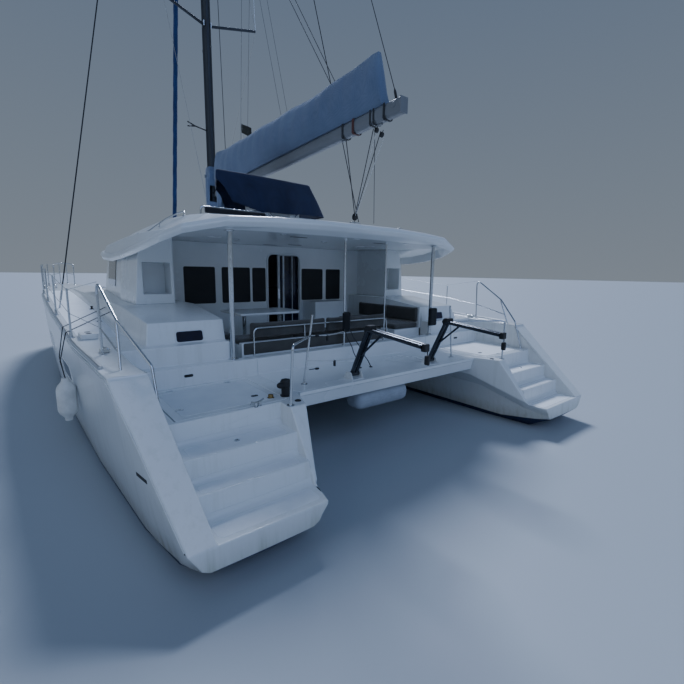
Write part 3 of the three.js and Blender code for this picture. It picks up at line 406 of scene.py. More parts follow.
def sheer_at(y, side=1, inboard=0.0, rise=0.0):
    """The point of the deck's edge at a station, moved inboard and up."""
    for (y0, x0, z0), (y1, x1, z1) in zip(SHEER, SHEER[1:]):
        if y <= y1:
            break
    share = (y - y0) / (y1 - y0)
    return Vector((side * (x0 + share * (x1 - x0) - inboard), y, z0 + share * (z1 - z0) + rise))


for side, sign in SIDES.items():
    turn = mirrored if sign < 0 else list
    rail = pipe(rounded(turn(QUARTER_RAIL), 0.09, 7), 0.014, 14)
    pipe(turn(QUARTER_POST), 0.0128, 12, rail)
    pipe(turn(QUARTER_BAR), 0.010, 10, rail)
    for foot in (QUARTER_RAIL[0], QUARTER_POST[0]):
        turned([(r, h - 0.004) for r, h in BASE_PLATE], turn([foot])[0], sides=16, shape=rail)
    place(f"quarter_handrail_{side}", rail, stainless, stands_for=[f"quarter_rail_{side}"])
    rail = pipe(rounded(turn(STERN_RAIL), 0.07, 7), 0.014, 14)
    pipe(rounded(turn(STERN_POST), 0.06, 6), 0.013, 14, rail)
    turned([(0.0128, 0), (0.017, 0.004), (0.016, 0.012), (0.006, 0.018)], turn([STERN_POST[2]])[0],
           (-sign * 0.14, 0, 1), 14, rail)
    for foot in (STERN_RAIL[0], STERN_POST[0]):
        turned(BASE_PLATE, turn([foot])[0][:2] + (1.10,), sides=16, shape=rail)
    place(f"stern_handrail_{side}", rail, stainless, stands_for=[f"stern_rail_{side}"])

# Along each side: toe rail, stanchions in their sockets, the two wires through them, and the bow's rails
# Anodised aluminium: pale grey, with a soft shine drawn out along its length
anodised = brushed("anodised_aluminium", "#C3C6C8", (0.28, 0.46), 0.03, (1, 1, 0.08))
POST_INBOARD, WIRE_HEIGHTS, WIRE_END = 0.038, (0.625, 0.335), 5.45
STANCHION = [(0.040, 0.028), (0.040, 0.036), (0.022, 0.042), (0.018, 0.110), (0.0125, 0.115),
             (0.0122, 0.630), (0.0105, 0.640), (0.004, 0.643)]
for side, sign in SIDES.items():
    stations = [-5.3 + k * 0.29 for k in range(41)]
    profile = [(0.055, -0.010), (0.020, -0.010), (0.018, 0.024), (0.030, 0.032), (0.046, 0.030),
               (0.057, 0.020)]
    ring = lambda y: [tuple(sheer_at(y, sign, inboard, rise)) for inboard, rise in profile]
    toe = outward(skinned([ring(y) for y in stations]))
    posts = bmesh.new()
    for y in STANCHIONS:
        turned(STANCHION, sheer_at(y, sign, POST_INBOARD), sides=14, shape=posts)
    for height, aft_height in zip(WIRE_HEIGHTS, (2.36, 1.86)):
        line = [sheer_at(y, sign, POST_INBOARD, height) for y in STANCHIONS]
        fore = sheer_at(WIRE_END, sign, 0.09, height - 0.01)
        pipe([Vector((sign * 3.556, -4.62, aft_height)), *line, fore], 0.0035, 8, posts)
    place(f"toe_rail_{side}", toe, anodised, stands_for=[f"side_rail_{side}"])
    place(f"stanchions_and_wires_{side}", posts, stainless)

    at = lambda y, inboard, rise=0.0: sheer_at(y, sign, inboard, rise)
    feet = [at(5.45, 0.09), at(6.56, 0.07), at(6.56, 0.26), at(5.75, 0.56)]
    top = [feet[0], at(5.45, 0.09, 0.62), at(6.56, 0.07, 0.66), at(6.90, 0.06, 0.65), at(6.56, 0.26, 0.66),
           at(5.75, 0.56, 0.62), feet[3]]
    bow_rail = pipe(rounded(top, 0.11, 7), 0.014, 12)
    for foot in feet[1:3]:
        pipe([foot, foot + Vector((0, 0, 0.655))], 0.012, 10, bow_rail)
    for aft, fore in ((feet[0], feet[1]), (feet[3], feet[2])):
        pipe([aft + Vector((0, 0, 0.32)), fore + Vector((0, 0, 0.33))], 0.010, 8, bow_rail)
    for foot in feet:
        turned(BASE_PLATE, foot, sides=16, shape=bow_rail)
    place(f"bow_pulpit_{side}", bow_rail, stainless, stands_for=[f"pulpit_{side}"])

# Hardtop posts, each between a base plate with four screws and a plate under the roof: x, y and radius
POST_FOOT, POST_HEAD = 1.325, 3.02
POSTS = {"port": (-2.03, -4.635, 0.032), "middle": (-0.12, -4.64, 0.016), "inner": (0.78, -4.64, 0.012),
         "starboard": (2.03, -4.635, 0.032)}
for name, (x, y, radius) in POSTS.items():
    wide = radius * 2.2
    at_foot = [(wide, 0), (wide, 0.005), (wide * 0.9, 0.009), (radius * 1.25, 0.010), (radius * 1.15, 0.028),
               (radius, 0.031)]
    at_head = [(radius, -0.022), (radius * 1.2, -0.020), (radius * 1.3, -0.010), (wide, -0.009), (wide, 0)]
    rows = [(r, POST_FOOT + h) for r, h in at_foot] + [(r, POST_HEAD + h) for r, h in at_head]
    post = turned(rows, (x, y, 0), sides=24)
    for turn_to in range(4):
        spin = math.radians(45 + 90 * turn_to)
        screw_at = (x + math.cos(spin) * wide * 0.78, y + math.sin(spin) * wide * 0.78, POST_FOOT + 0.007)
        turned([(0.005, 0), (0.0045, 0.003), (0.001, 0.0045)], screw_at, sides=8, shape=post)
    place(f"roof_post_{name}", post, stainless, stands_for=[f"hardtop_post_{name}"])


# Windows
# Smoked acrylic, bonded outside over the side and front openings, and behind the bulkhead's openings.
# Smoked acrylic: nearly black and glossy, with a little of the dark behind it
smoked = grained("smoked_acrylic", "#1B2024", "#22282C", 0.6, 0.01, 0.00005, (0.03, 0.07),
                 Transmission_Weight=0.55, IOR=1.49)


def coated(name, material):
    """Gives a CAD node that stays as it is its finish."""
    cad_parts[name].data.materials.clear()
    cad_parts[name].data.materials.append(material)


for name in ("side_glass_port", "side_glass_starboard", "front_glass", "aft_glass_port",
             "aft_glass_starboard"):
    coated(name, smoked)


# Cockpit table, benches and cabinet
# The moulded table top stands on two stainless legs. The benches are gelcoat mouldings with loose
# cushions in grey acrylic canvas over foam.
WAVES = 0.314  # the wave texture's scale that gives one wave in each metre


def woven(name, light, dark, thread, sheen=0.3, rough=0.85, depth=0.0006, patch=0.25):
    """A plain weave: threads one way over threads the other, with faded patches and a soft sheen."""
    material, tree, shader, spot = finish(name, Sheen_Weight=sheen, Sheen_Roughness=0.5, Roughness=rough,
                                          Specular_IOR_Level=0.25)
    bands = [node(tree, "ShaderNodeTexWave", {"Scale": WAVES / thread, "Distortion": 0.6, "Detail": 1.0},
                  {"Vector": spot}, bands_direction=axis).outputs["Fac"] for axis in "XYZ"]
    pair = node(tree, "ShaderNodeMath", links={0: bands[0], 1: bands[1]}, operation="ADD").outputs[0]
    cloth = node(tree, "ShaderNodeMath", links={0: pair, 1: bands[2]}, operation="ADD").outputs[0]
    fade = node(tree, "ShaderNodeTexNoise", {"Scale": 1 / patch, "Detail": 5, "Roughness": 0.62},
                {"Vector": spot}).outputs["Fac"]
    tone = node(tree, "ShaderNodeMath", {1: 0.12}, {0: cloth, 2: fade}, operation="MULTIPLY_ADD").outputs[0]
    share = node(tree, "ShaderNodeMapRange", {"From Min": 0.45, "From Max": 0.95}, {"Value": tone})
    mix = node(tree, "ShaderNodeMix", {"A": linear(light), "B": linear(dark)},
               {"Factor": share.outputs["Result"]}, data_type="RGBA")
    bump = node(tree, "ShaderNodeBump", {"Strength": 0.7, "Distance": depth}, {"Height": cloth})
    dressed(tree, shader, Base_Color=mix.outputs["Result"], Normal=bump.outputs["Normal"])
    return material


# Solution-dyed acrylic canvas over foam: matt, mid grey, its weave drawn at 4 mm so that it shows
cushion_cloth = woven("grey_acrylic_canvas", "#54534F", "#403F3D", 0.004)


def laid(shape, point, facing, toward, lift=0.0):
    """Moves a shape made round the origin, lying in XY, to a point with its Z the way the surface faces."""
    out = facing.normalized()
    across = (Vector(toward) - out * out.dot(Vector(toward))).normalized()
    turn = Matrix((across, out.cross(across), out)).transposed().to_4x4()
    bmesh.ops.transform(shape, matrix=Matrix.Translation(point + out * lift) @ turn, verts=shape.verts)
    return shape


def rounded_edge(wide, high, corner, middle=(0, 0), steps=5):
    """A rounded rectangle's outline round its middle."""
    points = []
    for turn_by, (x, y) in enumerate(((1, 1), (-1, 1), (-1, -1), (1, -1))):
        for k in range(steps + 1):
            spin = math.radians(90 * turn_by + 90 * k / steps)
            points.append((middle[0] + (x * (wide / 2 - corner) + math.cos(spin) * corner),
                           middle[1] + (y * (high / 2 - corner) + math.sin(spin) * corner)))
    return points


TABLE_EDGE = [(-1.50, -3.75), (-0.42, -3.75), (-0.30, -3.60), (-0.30, -3.05), (-0.42, -2.90), (-1.50, -2.90)]
table = prism(TABLE_EDGE, 2, 1.790, 1.825, 0.008, 3)
place("table_top", table, gelcoat, stands_for=["cockpit_table"])
TABLE_LEG = [(0.105, 1.1005), (0.105, 1.106), (0.095, 1.112), (0.040, 1.116), (0.0315, 1.125),
             (0.0315, 1.775), (0.060, 1.780), (0.105, 1.784), (0.105, 1.7895)]
legs = bmesh.new()
for x in (-1.25, -0.56):
    turned(TABLE_LEG, (x, -3.32, 0), sides=28, shape=legs)
place("table_legs", legs, stainless)


# The cushions' simulation: its pressure and its frames
PUFF_PRESSURE, PUFF_FRAMES = 4, 12


def swollen(name, low, high, material, grow, rounding=0.03, voxel=0.018, stands_for=(),
            body="root"):
    """A foam cushion between two corners: a rounded block blown up by cloth simulation within a cap."""
    shape = box([l + grow * 0.5 for l in low], [h - grow * 0.5 for h in high], rounding, 3)
    mesh = bpy.data.meshes.new(name)
    shape.to_mesh(mesh)
    shape.free()
    mesh.materials.append(material)
    item = bpy.data.objects.new(name, mesh)
    scene.collection.objects.link(item)
    mend = item.modifiers.new("mend", "REMESH")
    mend.mode, mend.voxel_size = "VOXEL", voxel
    flatten(item)
    rest = [vert.co.copy() for vert in item.data.vertices]
    puff = item.modifiers.new("puff", "CLOTH")
    puff.settings.use_pressure = True
    puff.settings.uniform_pressure_force = PUFF_PRESSURE
    puff.settings.effector_weights.gravity = 0
    puff.settings.quality = 4
    for step in range(1, PUFF_FRAMES + 1):
        scene.frame_set(step)
    flatten(item)
    scene.frame_set(1)
    for vert, was in zip(item.data.vertices, rest):
        move = vert.co - was
        if move.length > grow:
            vert.co = was + move.normalized() * grow
        vert.co = Vector([min(max(value, l + 0.001), h - 0.001) for value, l, h in zip(vert.co, low, high)])
    item.data.shade_smooth()
    if stands_for:
        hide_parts(*stands_for)
    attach(item, body)
    return item


# Each bench: its moulded seat box and its back, and the cushions on them, as lowest and highest corners
SEAT = 1.54
BENCHES = {
    "port": ([((-2.04, -3.90, 1.1), (-1.64, -2.13, 1.46)), ((-2.04, -3.90, 1.1), (-2.01, -2.13, 1.79))],
             {"seat": [((-2.005, -3.895, 1.462), (-1.64, -3.02, SEAT)),
                       ((-2.005, -3.01, 1.462), (-1.64, -2.135, SEAT))],
              "back": [((-2.008, -3.895, SEAT), (-1.93, -3.02, 1.79)),
                       ((-2.008, -3.01, SEAT), (-1.93, -2.135, 1.79))]}),
    "aft": ([((-1.85, -4.42, 1.1), (1.00, -3.96, 1.46)), ((-1.85, -4.518, 1.1), (1.00, -4.42, 1.50))],
            {"seat": [((-1.845, -4.40, 1.462), (-0.90, -3.962, SEAT)),
                      ((-0.895, -4.40, 1.462), (0.05, -3.962, SEAT)),
                      ((0.055, -4.40, 1.462), (0.995, -3.962, SEAT))],
             "back": [((-1.70, -4.485, SEAT), (-0.36, -4.40, 1.785)),
                      ((-0.35, -4.485, SEAT), (0.99, -4.40, 1.785))]}),
    "starboard": ([((1.30, -4.40, 1.1), (2.04, -2.60, 1.44)), ((1.99, -4.40, 1.1), (2.04, -2.60, 1.85))],
                  {"seat": [((1.305, -4.395, 1.442), (1.985, -3.505, SEAT)),
                            ((1.305, -3.495, 1.442), (1.985, -2.605, SEAT))],
                   "back": [((1.91, -4.395, SEAT), (1.988, -3.505, 1.85)),
                            ((1.91, -3.495, SEAT), (1.988, -2.605, 1.85))]}),
}
NODES_OF = {"port": "bench_port", "aft": "bench_aft", "starboard": "seat_starboard"}
for name, (boxes, pads) in BENCHES.items():
    base = bmesh.new()
    for low, high in boxes:
        box(low, high, 0.012, 2, base)
    place(f"bench_moulding_{name}", base, gelcoat, stands_for=[NODES_OF[name]])
    for kind, rows in pads.items():
        for count, (low, high) in enumerate(rows, 1):
            swollen(f"{kind}_cushion_{name}_{count}", low, high, cushion_cloth, 0.012)

# The aft back's frame: one bent tube that stands on the step behind the bench
BACK_FRAME = [(-1.67, -4.535, 1.325), (-1.66, -4.505, 1.70), (0.96, -4.505, 1.70), (0.97, -4.535, 1.325)]
frame_tube = pipe(rounded(BACK_FRAME, 0.09, 8), 0.0125, 14)
for x in (-0.80, 0.10):
    pipe([(x, -4.515, 1.52), (x, -4.505, 1.70)], 0.010, 10, frame_tube)
place("bench_back_frame", frame_tube, stainless)

# A dark panel of the same canvas closes the aft bench behind: painted shade over its aft face
shade_panel = prism(rounded_edge(2.80, 0.165, 0.02), 2, 0, 0.004, 0.0015)
place("bench_aft_painted_shade_panel", laid(shade_panel, Vector((-0.425, -4.518, 1.413)), Vector((0, -1, 0)), (1, 0, 0)),
      cushion_cloth)

moulded("galley_cabinet_moulding", "galley_cabinet", gelcoat, "gelcoat", 0.012)


# Stern steps, non-skid and fittings on the hulls
# The steps are part of the hull moulding. Their corners are swept in coves, and the treads, lids and side
# decks carry a moulded diamond non-skid. The fittings are stainless or black nylon, screwed down.
def surface(name):
    """A CAD node's surface, for finding where a fitting lands on it."""
    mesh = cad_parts[name].data
    return BVHTree.FromPolygons([vert.co for vert in mesh.vertices],
                                [face.vertices for face in mesh.polygons])


def landed(skin, start, heading):
    """Where a straight line first meets a surface, and which way the surface faces there."""
    point, facing, _, _ = skin.ray_cast(Vector(start), Vector(heading).normalized())
    if point is None:
        return None, None
    return point, facing if facing.dot(Vector(heading)) < 0 else -facing


def fixed(shape, skin, start, heading, toward, lift=0.0):
    """Lays a shape on a surface where a straight line first meets it."""
    point, facing = landed(skin, start, heading)
    return laid(shape, point, facing, toward, lift)


def joined_up(shapes):
    """Several shapes as one."""
    whole = bmesh.new()
    for each in shapes:
        part = bpy.data.meshes.new("part")
        each.to_mesh(part)
        each.free()
        whole.from_mesh(part)
        bpy.data.meshes.remove(part)
    return whole


hull_skin = {side: surface(f"hull_{side}") for side in SIDES}
# Where a line toward a hull's side starts: further out than any part of the boat
OUTSIDE = 6

# Moulded non-skid: a diamond grain 14 mm apart, pressed into duller gelcoat
nonskid, tree, shader, spot = finish("moulded_nonskid_gelcoat", Roughness=0.55, IOR=1.5)
NONSKID_PITCH = 0.014
diamonds = node(tree, "ShaderNodeMapping", {"Rotation": (0, 0, math.radians(45))},
                {"Vector": spot}).outputs["Vector"]
ridges = [node(tree, "ShaderNodeTexWave", {"Scale": WAVES / NONSKID_PITCH}, {"Vector": diamonds},
               bands_direction=axis).outputs["Fac"] for axis in "XY"]
studs = node(tree, "ShaderNodeMath", links={0: ridges[0], 1: ridges[1]}, operation="MULTIPLY").outputs[0]
scuff = node(tree, "ShaderNodeTexNoise", {"Scale": 3.5, "Detail": 6, "Roughness": 0.65},
             {"Vector": spot}).outputs["Fac"]
shade = node(tree, "ShaderNodeMapRange", {"From Min": 0.35, "From Max": 0.75}, {"Value": scuff})
tint = node(tree, "ShaderNodeMix", {"A": linear("#EDF0F1"), "B": linear("#E0E4E7")},
            {"Factor": shade.outputs["Result"]}, data_type="RGBA")
bump = node(tree, "ShaderNodeBump", {"Strength": 0.8, "Distance": 0.0015}, {"Height": studs})
dressed(tree, shader, Base_Color=tint.outputs["Result"], Normal=bump.outputs["Normal"])

STAIR = (2.10, 3.23)
# The side deck's non-skid runs from the trunk outward, and stops short of the deck's edge
SIDE_DECK_FROM, SIDE_DECK_TO = 3.24, 0.12
RISERS = ((-6.615, 0.42), (-6.375, 0.646), (-6.03, 0.872))
COVE = 0.055
# Non-skid on the platform and two treads: middle x, middle y, height, size across and along, corner radius
PANELS = [(2.67, -6.80, 0.42, 0.98, 0.22, 0.05), (2.68, -6.50, 0.646, 0.98, 0.14, 0.04),
          (2.68, -6.215, 0.872, 0.98, 0.24, 0.04)]
for side, sign in SIDES.items():
    coves = []
    for y, z in RISERS:
        ends = []
        for way, limit in zip((-sign, sign), STAIR):
            wall = landed(hull_skin[side], (sign * 2.7, y - 0.03, z + 0.03), (way, 0, 0))[0]
            ends.append(wall.x if wall else sign * limit)
        curve = [(y - COVE * (1 - math.sin(t)), z + COVE * (1 - math.cos(t)))
                 for t in [math.pi / 2 * k / 8 for k in range(9)]]
        outline = [(y + 0.004, z - 0.004), (y - COVE, z - 0.004)] + curve + [(y + 0.004, z + COVE)]
        coves.append(prism(outline, 0, *ends))
    place(f"step_coves_{side}", joined_up(coves), gelcoat, smooth=25)
    panels = [prism(rounded_edge(wide, long, corner, (sign * x, y)), 2, z - 0.001, z + 0.002)
              for x, y, z, wide, long, corner in PANELS]
    place(f"step_nonskid_{side}", joined_up(panels), nonskid)
    lid = prism(rounded_edge(1.02, 0.90, 0.06, (sign * 2.585, -5.42)), 2, 1.0995, 1.102)
    place(f"hatch_nonskid_{side}", lid, nonskid, f"engine_hatch_{side}")

    # Side deck: a thin strip between the trunk and the toe rail
    rings = []
    for y in (-3.7, -2.6, -1.2, 0.2, 1.5, 2.6):
        edge = sheer_at(y)
        inner, outer = sign * SIDE_DECK_FROM, sign * (edge.x - SIDE_DECK_TO)
        rings.append([(x, y, edge.z + rise) for x, rise in ((inner, -0.002), (inner, 0.002), (outer, 0.002),
                                                            (outer, -0.002))])
    place(f"side_deck_nonskid_{side}", outward(skinned(rings)), nonskid)

# White rubber strip: a shade duller than the gelcoat beside it
white_rubber = grained("white_rubbing_strip", "#E4E6E5", "#D2D5D4", 0.5, 0.01, 0.0002, (0.35, 0.5))
# The flange where hull and deck moulding meet: a light capping over a dark sealant line. It follows the
# stern's slope up to the bulwark's top, and the sheer from there.
FLANGE_FROM, FLANGE_TO, FLANGE_POINTS, FLANGE_DROP = -6.93, 6.85, 60, 0.030
BULWARK_TOP, STERN_END, STERN_LOW, STERN_HIGH, SLOPE_LONG = -5.68, -6.98, 0.42, 1.519, 1.3
# Polyurethane sealant: a half-matt black line with a fine skin
black_sealant = grained("black_polyurethane_sealant", "#17181A", "#232427", 0.3, 0.006, 0.0003, (0.5, 0.7))
for side, sign in SIDES.items():
    edge = []
    for k in range(FLANGE_POINTS):
        y = FLANGE_FROM + k * (FLANGE_TO - FLANGE_FROM) / (FLANGE_POINTS - 1)
        slope = STERN_LOW + (y - STERN_END) * (STERN_HIGH - STERN_LOW) / SLOPE_LONG
        height = slope if y < BULWARK_TOP else sheer_at(y).z
        point = landed(hull_skin[side], (sign * OUTSIDE, y, height - FLANGE_DROP), (-sign, 0, 0))[0]
        if point:
            edge.append(point)
    out, down = Vector((sign * 0.002, 0, 0)), Vector((0, 0, 0.014))
    capping, seam = pipe([p + out for p in edge], 0.007, 8), pipe([p - down for p in edge], 0.0035, 6)
    place(f"flange_capping_{side}", capping, white_rubber, smooth=60)
    place(f"flange_seam_{side}", seam, black_sealant)

# Moulded nylon: black and half matt, with the mould's fine grain
black_plastic = grained("moulded_black_nylon", "#1A1B1D", "#232426", 0.08, 0.002, 0.0002, (0.42, 0.6))
# Deck fittings: those set in by a straight line lie on the surface that the line meets
LID = 1.101
for side, sign in SIDES.items():
    skin = hull_skin[side]
    lid_steel, lid_black = [], []
    cap = [(0.030, -0.002), (0.030, 0.003), (0.027, 0.005), (0.020, 0.005), (0.018, 0.003)]
    steel_parts = [turned(cap, (sign * 2.69, -6.20, 0.874), sides=24)]
    black_parts = [box((sign * 2.69 - 0.014, -6.204, 0.8775), (sign * 2.69 + 0.014, -6.196, 0.8795), 0.001)]
    for x, parts in ((2.23, lid_black), (3.06, lid_steel)):
        parts.append(prism(rounded_edge(0.085, 0.052, 0.024, (sign * x, -5.66)), 2, 1.1015, 1.107, 0.002))
        lid_steel.append(turned([(0.012, 0), (0.012, 0.003), (0.004, 0.0035)], (sign * x, -5.66, 1.107),
                                sides=16))
    ring = [(sign * x, -5.93, LID + up) for x, up in ((2.33, 0), (2.33, 0.017), (2.41, 0.017), (2.41, 0))]
    lid_steel.append(pipe(rounded(ring, 0.01, 4), 0.004, 8))
    # Hinges along the lid's fore edge
    for x in (2.25, 2.95):
        lid_steel.append(box((sign * x - 0.035, -4.96, 1.1005), (sign * x + 0.035, -4.90, 1.104), 0.0015))
    place(f"hatch_fittings_{side}", joined_up(lid_steel), stainless, f"engine_hatch_{side}")
    place(f"hatch_latch_{side}", joined_up(lid_black), black_plastic, f"engine_hatch_{side}")

    # Grab handle and shower fitting on the inner bulwark's stair side
    feet = [landed(skin, (sign * 2.6, y, z), (-sign, 0, 0)) for y, z in ((-6.20, 0.77), (-6.30, 0.46))]
    off = feet[0][1] * 0.05
    grip = rounded([feet[0][0], feet[0][0] + off, feet[1][0] + off, feet[1][0]], 0.03, 6)
    steel_parts.append(pipe(grip, 0.010, 12))
    for foot, facing in feet:
        flange = turned([(0.024, 0), (0.024, 0.004), (0.014, 0.006)], (0, 0, 0))
        steel_parts.append(laid(flange, foot, facing, (0, 1, 0)))
    shower = turned([(0.036, 0), (0.036, 0.006), (0.030, 0.010), (0.014, 0.010), (0.012, 0.006)],
                    (0, 0, 0), sides=28)
    black_parts.append(fixed(shower, skin, (sign * 1.92, -6.09, 2.0), (0, 0, -1), (1, 0, 0)))
    # Scupper in the step ahead of the hatch, and the outlet low on the hull's side
    scupper = prism(rounded_edge(0.11, 0.034, 0.016), 2, 0, 0.003)
    black_parts.append(fixed(scupper, skin, (sign * 2.68, -6.0, 1.22), (0, 1, 0), (1, 0, 0)))
    outlet = prism([(-0.13, -0.02), (0.13, 0.0), (0.13, 0.035), (-0.13, 0.015)], 2, 0, 0.003, 0.001)
    black_parts.append(fixed(outlet, skin, (sign * OUTSIDE, -6.19, 0.76), (-sign, 0, 0), (0, 1, 0)))
    place(f"stern_fittings_{side}", joined_up(steel_parts), stainless)
    place(f"stern_outlets_{side}", joined_up(black_parts), black_plastic)

# Tinted acrylic, nearly opaque, so that it shows only its own dark blue and the sky
tinted = grained("tinted_acrylic", "#0B1026", "#11183A", 0.5, 0.01, 0.00005, (0.08, 0.14), IOR=1.49)
# Port lights: a white raised frame round dark acrylic, one in each trunk's aft face and three in each hull.
# Each ring of the frame: how far it grows past the pane, how much rounder its corners are, and its height
FRAME_RINGS = [(0.05, 0.025, 0), (0.044, 0.022, 0.008), (0.006, 0, 0.010), (0, 0, 0.006)]
for side, sign in SIDES.items():
    frames, panes = [], []
    places = [((sign * 2.525, -6.0, 1.65), (0, 1, 0), (1, 0, 0), 0.34, 0.135, 0.03)]
    places += [((sign * OUTSIDE, y, z), (-sign, 0, 0), (0, 1, 0), wide, 0.22, 0.08)
               for y, z, wide in ((-2.6, 1.02, 0.9), (-0.2, 1.12, 1.1), (2.3, 1.22, 0.8))]
    for *line, wide, high, corner in places:
        rim = skinned([[(x, y, up) for x, y in rounded_edge(wide + grow, high + grow, corner + bend)]
                       for grow, bend, up in FRAME_RINGS])
        frames.append(fixed(rim, hull_skin[side], *line, -0.003))
        pane = prism(rounded_edge(wide, high, corner), 2, 0, 0.0062, 0.0012)
        panes.append(fixed(pane, hull_skin[side], *line, -0.0025))
    place(f"port_light_frames_{side}", joined_up(frames), white_rubber)
    place(f"port_light_panes_{side}", joined_up(panes), tinted)


# Flybridge hood, back rest and wheel
# One navy acrylic canvas hood drops over helm console and wheel, and hangs in soft folds to its hem.
# Acrylic canvas in navy: dark and matt, its weave drawn at 6 mm, with a sheen where it turns away
navy_canvas = woven("navy_acrylic_canvas", "#1D2A4C", "#141C36", 0.006,
                    sheen=0.35, rough=0.9, depth=0.0012, patch=0.5)

# The hood's aft edge, x and z, and how far its port corner is drawn in as it goes forward
HOOD_EDGE = [(-1.40, 3.85), (-1.25, 3.62), (-0.70, 3.50), (0.735, 3.55), (0.34, 4.16), (-1.54, 4.17),
             (-1.56, 3.98)]
HOOD_AFT, HOOD_FORE, HOOD_DRAWN_IN = -2.98, -2.06, 0.35


def voxelled(item, size):
    """Remeshes an object at one voxel size and returns its new mesh as a bmesh."""
    mend = item.modifiers.new("mend", "REMESH")
    mend.mode, mend.voxel_size = "VOXEL", size
    flatten(item)
    shape = bmesh.new()
    shape.from_mesh(item.data)
    return shape


def walled(item, thickness):
    """Gives a single skin a wall inward."""
    wall = item.modifiers.new("wall", "SOLIDIFY")
    wall.thickness, wall.offset = thickness, -1
    flatten(item)
    item.data.shade_smooth()


def hood_ring(y):
    """The hood's cross section at a station."""
    share = (y - HOOD_AFT) / (HOOD_FORE - HOOD_AFT)
    drawn = lambda x: HOOD_DRAWN_IN * min(max((-0.7 - x) / 0.8, 0), 1) * share
    return [(x + drawn(x), y, z) for x, z in HOOD_EDGE]


shape = outward(skinned([hood_ring(HOOD_AFT), hood_ring(HOOD_FORE)]))
bmesh.ops.bevel(shape, geom=list(shape.edges), offset=0.05, segments=4, profile=0.5, affect="EDGES")
hood = place("helm_hood", shape, navy_canvas, stands_for=["helm_cover"])
shape = voxelled(hood, 0.025)
hem_side = lambda face: face.normal.z < -0.35 and face.calc_center_median().z < 3.97
bmesh.ops.delete(shape, geom=[face for face in shape.faces if hem_side(face)], context="FACES")
shape.normal_update()
# The canvas is pushed in: folds that grow toward the hem, slack in patches and slanting pulls
HEM_FROM, HEM_SPAN = 4.12, 0.4
ALL_OVER, FOLD_DEEP, SLACK_DEEP, STRAIN_DEEP = 0.003, 0.013, 0.014, 0.006
for vert in shape.verts:
    x, y, z = vert.co
    hang = max(0.0, min(1.0, (HEM_FROM - z) / HEM_SPAN))
    fold = 0.5 + 0.5 * math.sin(x * 11.0 + 1.4 * math.sin(z * 3.7 + x) + y * 7.0)
    slack = noise.noise(Vector((x * 1.9, y * 2.2, z * 2.6))) * 0.5 + 0.5
    strain = 0.5 + 0.5 * math.sin((x + 1.5) * 3.0 + (z - 3.9) * 9.0)
    push = ALL_OVER + FOLD_DEEP * fold * hang + SLACK_DEEP * slack + STRAIN_DEEP * strain
    vert.co -= vert.normal * push
shape.to_mesh(hood.data)
shape.free()
walled(hood, 0.004)

BACK_RAIL = [(-1.95, -3.40, 3.29), (-1.95, -3.40, 3.46), (-0.80, -3.40, 3.46), (-0.80, -3.40, 3.29)]
seat_frame = pipe(rounded(BACK_RAIL, 0.06, 8), 0.014, 14)
for x in (-1.95, -0.80):
    turned(BASE_PLATE, (x, -3.40, 3.2895), sides=16, shape=seat_frame)
place("flybridge_rail", seat_frame, stainless, stands_for=["flybridge_back"])
# Charcoal acrylic canvas, its dark grey darkened to nearly black with painted shade: matt, in the cushions'
# weave
seat_cloth_with_painted_shade = woven("charcoal_canvas_with_painted_shade", "#24262C", "#18191E", 0.004)
swollen("flybridge_back_pad", (-1.89, -3.44, 3.365), (-0.86, -3.36, 3.469), seat_cloth_with_painted_shade, 0.01,
        rounding=0.02, voxel=0.015)

WHEEL_AT, WHEEL_RADIUS = Vector((-0.10, -2.6853, 3.74)), 0.33
RIM_STEPS, ROUND_STEPS = 48, 12


def on_rim(turn):
    """The middle of the wheel's rim at a turn."""
    return WHEEL_AT + Vector((math.cos(turn), 0, math.sin(turn))) * WHEEL_RADIUS


wheel = bmesh.new()
rows = []
for turn in circling(RIM_STEPS):
    out = (on_rim(turn) - WHEEL_AT).normalized()
    rows.append([wheel.verts.new(on_rim(turn)
                                 + (out * math.cos(s) + Vector((0, 1, 0)) * math.sin(s)) * 0.014)
                 for s in circling(ROUND_STEPS)])
for row, fore in zip(rows, rows[1:] + rows[:1]):
    for j in range(ROUND_STEPS):
        on = (j + 1) % ROUND_STEPS
        wheel.faces.new((row[j], row[on], fore[on], fore[j]))
for spoke in range(3):
    pipe([WHEEL_AT, on_rim(math.radians(90 + 120 * spoke))], 0.009, 10, wheel)
HUB = [(0.050, -0.025), (0.052, -0.020), (0.052, 0.015), (0.044, 0.022), (0.030, 0.0248)]
turned(HUB, WHEEL_AT, (0, -1, 0), 24, wheel)
place("steering_wheel", outward(wheel), stainless, "helm_wheel", ["helm_wheel"])


# Mast and boom
# Extruded aluminium sections: an oval, anodised mast in one length, and a flat-sided, painted boom.
# Spar aluminium, its grey darkened with painted shade: dull, and streaked along the spar
spar_alloy_with_painted_shade = brushed("spar_aluminium_with_painted_shade", "#50545A", (0.55, 0.7), 0.03, (1, 1, 0.08))
moulded("mast_spar", "mast", spar_alloy_with_painted_shade, "alloy", 0.006, angle=40, smooth=50)
# Painted aluminium: an even, half-matt grey
painted_boom = grained("grey_painted_aluminium", "#7C8085", "#6E7277", 0.7, 0.01, 0.0002, (0.35, 0.5))
moulded("boom_spar", "boom", painted_boom, "alloy", 0.02, angle=40, body="boom")

# The bag for the stowed mainsail: two long panels of faded blue canvas, held up along its top
# Blue acrylic canvas bleached by the sun: pale and matt, greyer in patches, its weave drawn at 8 mm
bag_canvas = woven("faded_blue_canvas", "#74859F", "#5D6E8A", 0.008,
                   sheen=0.25, rough=0.9, depth=0.0012, patch=0.7)
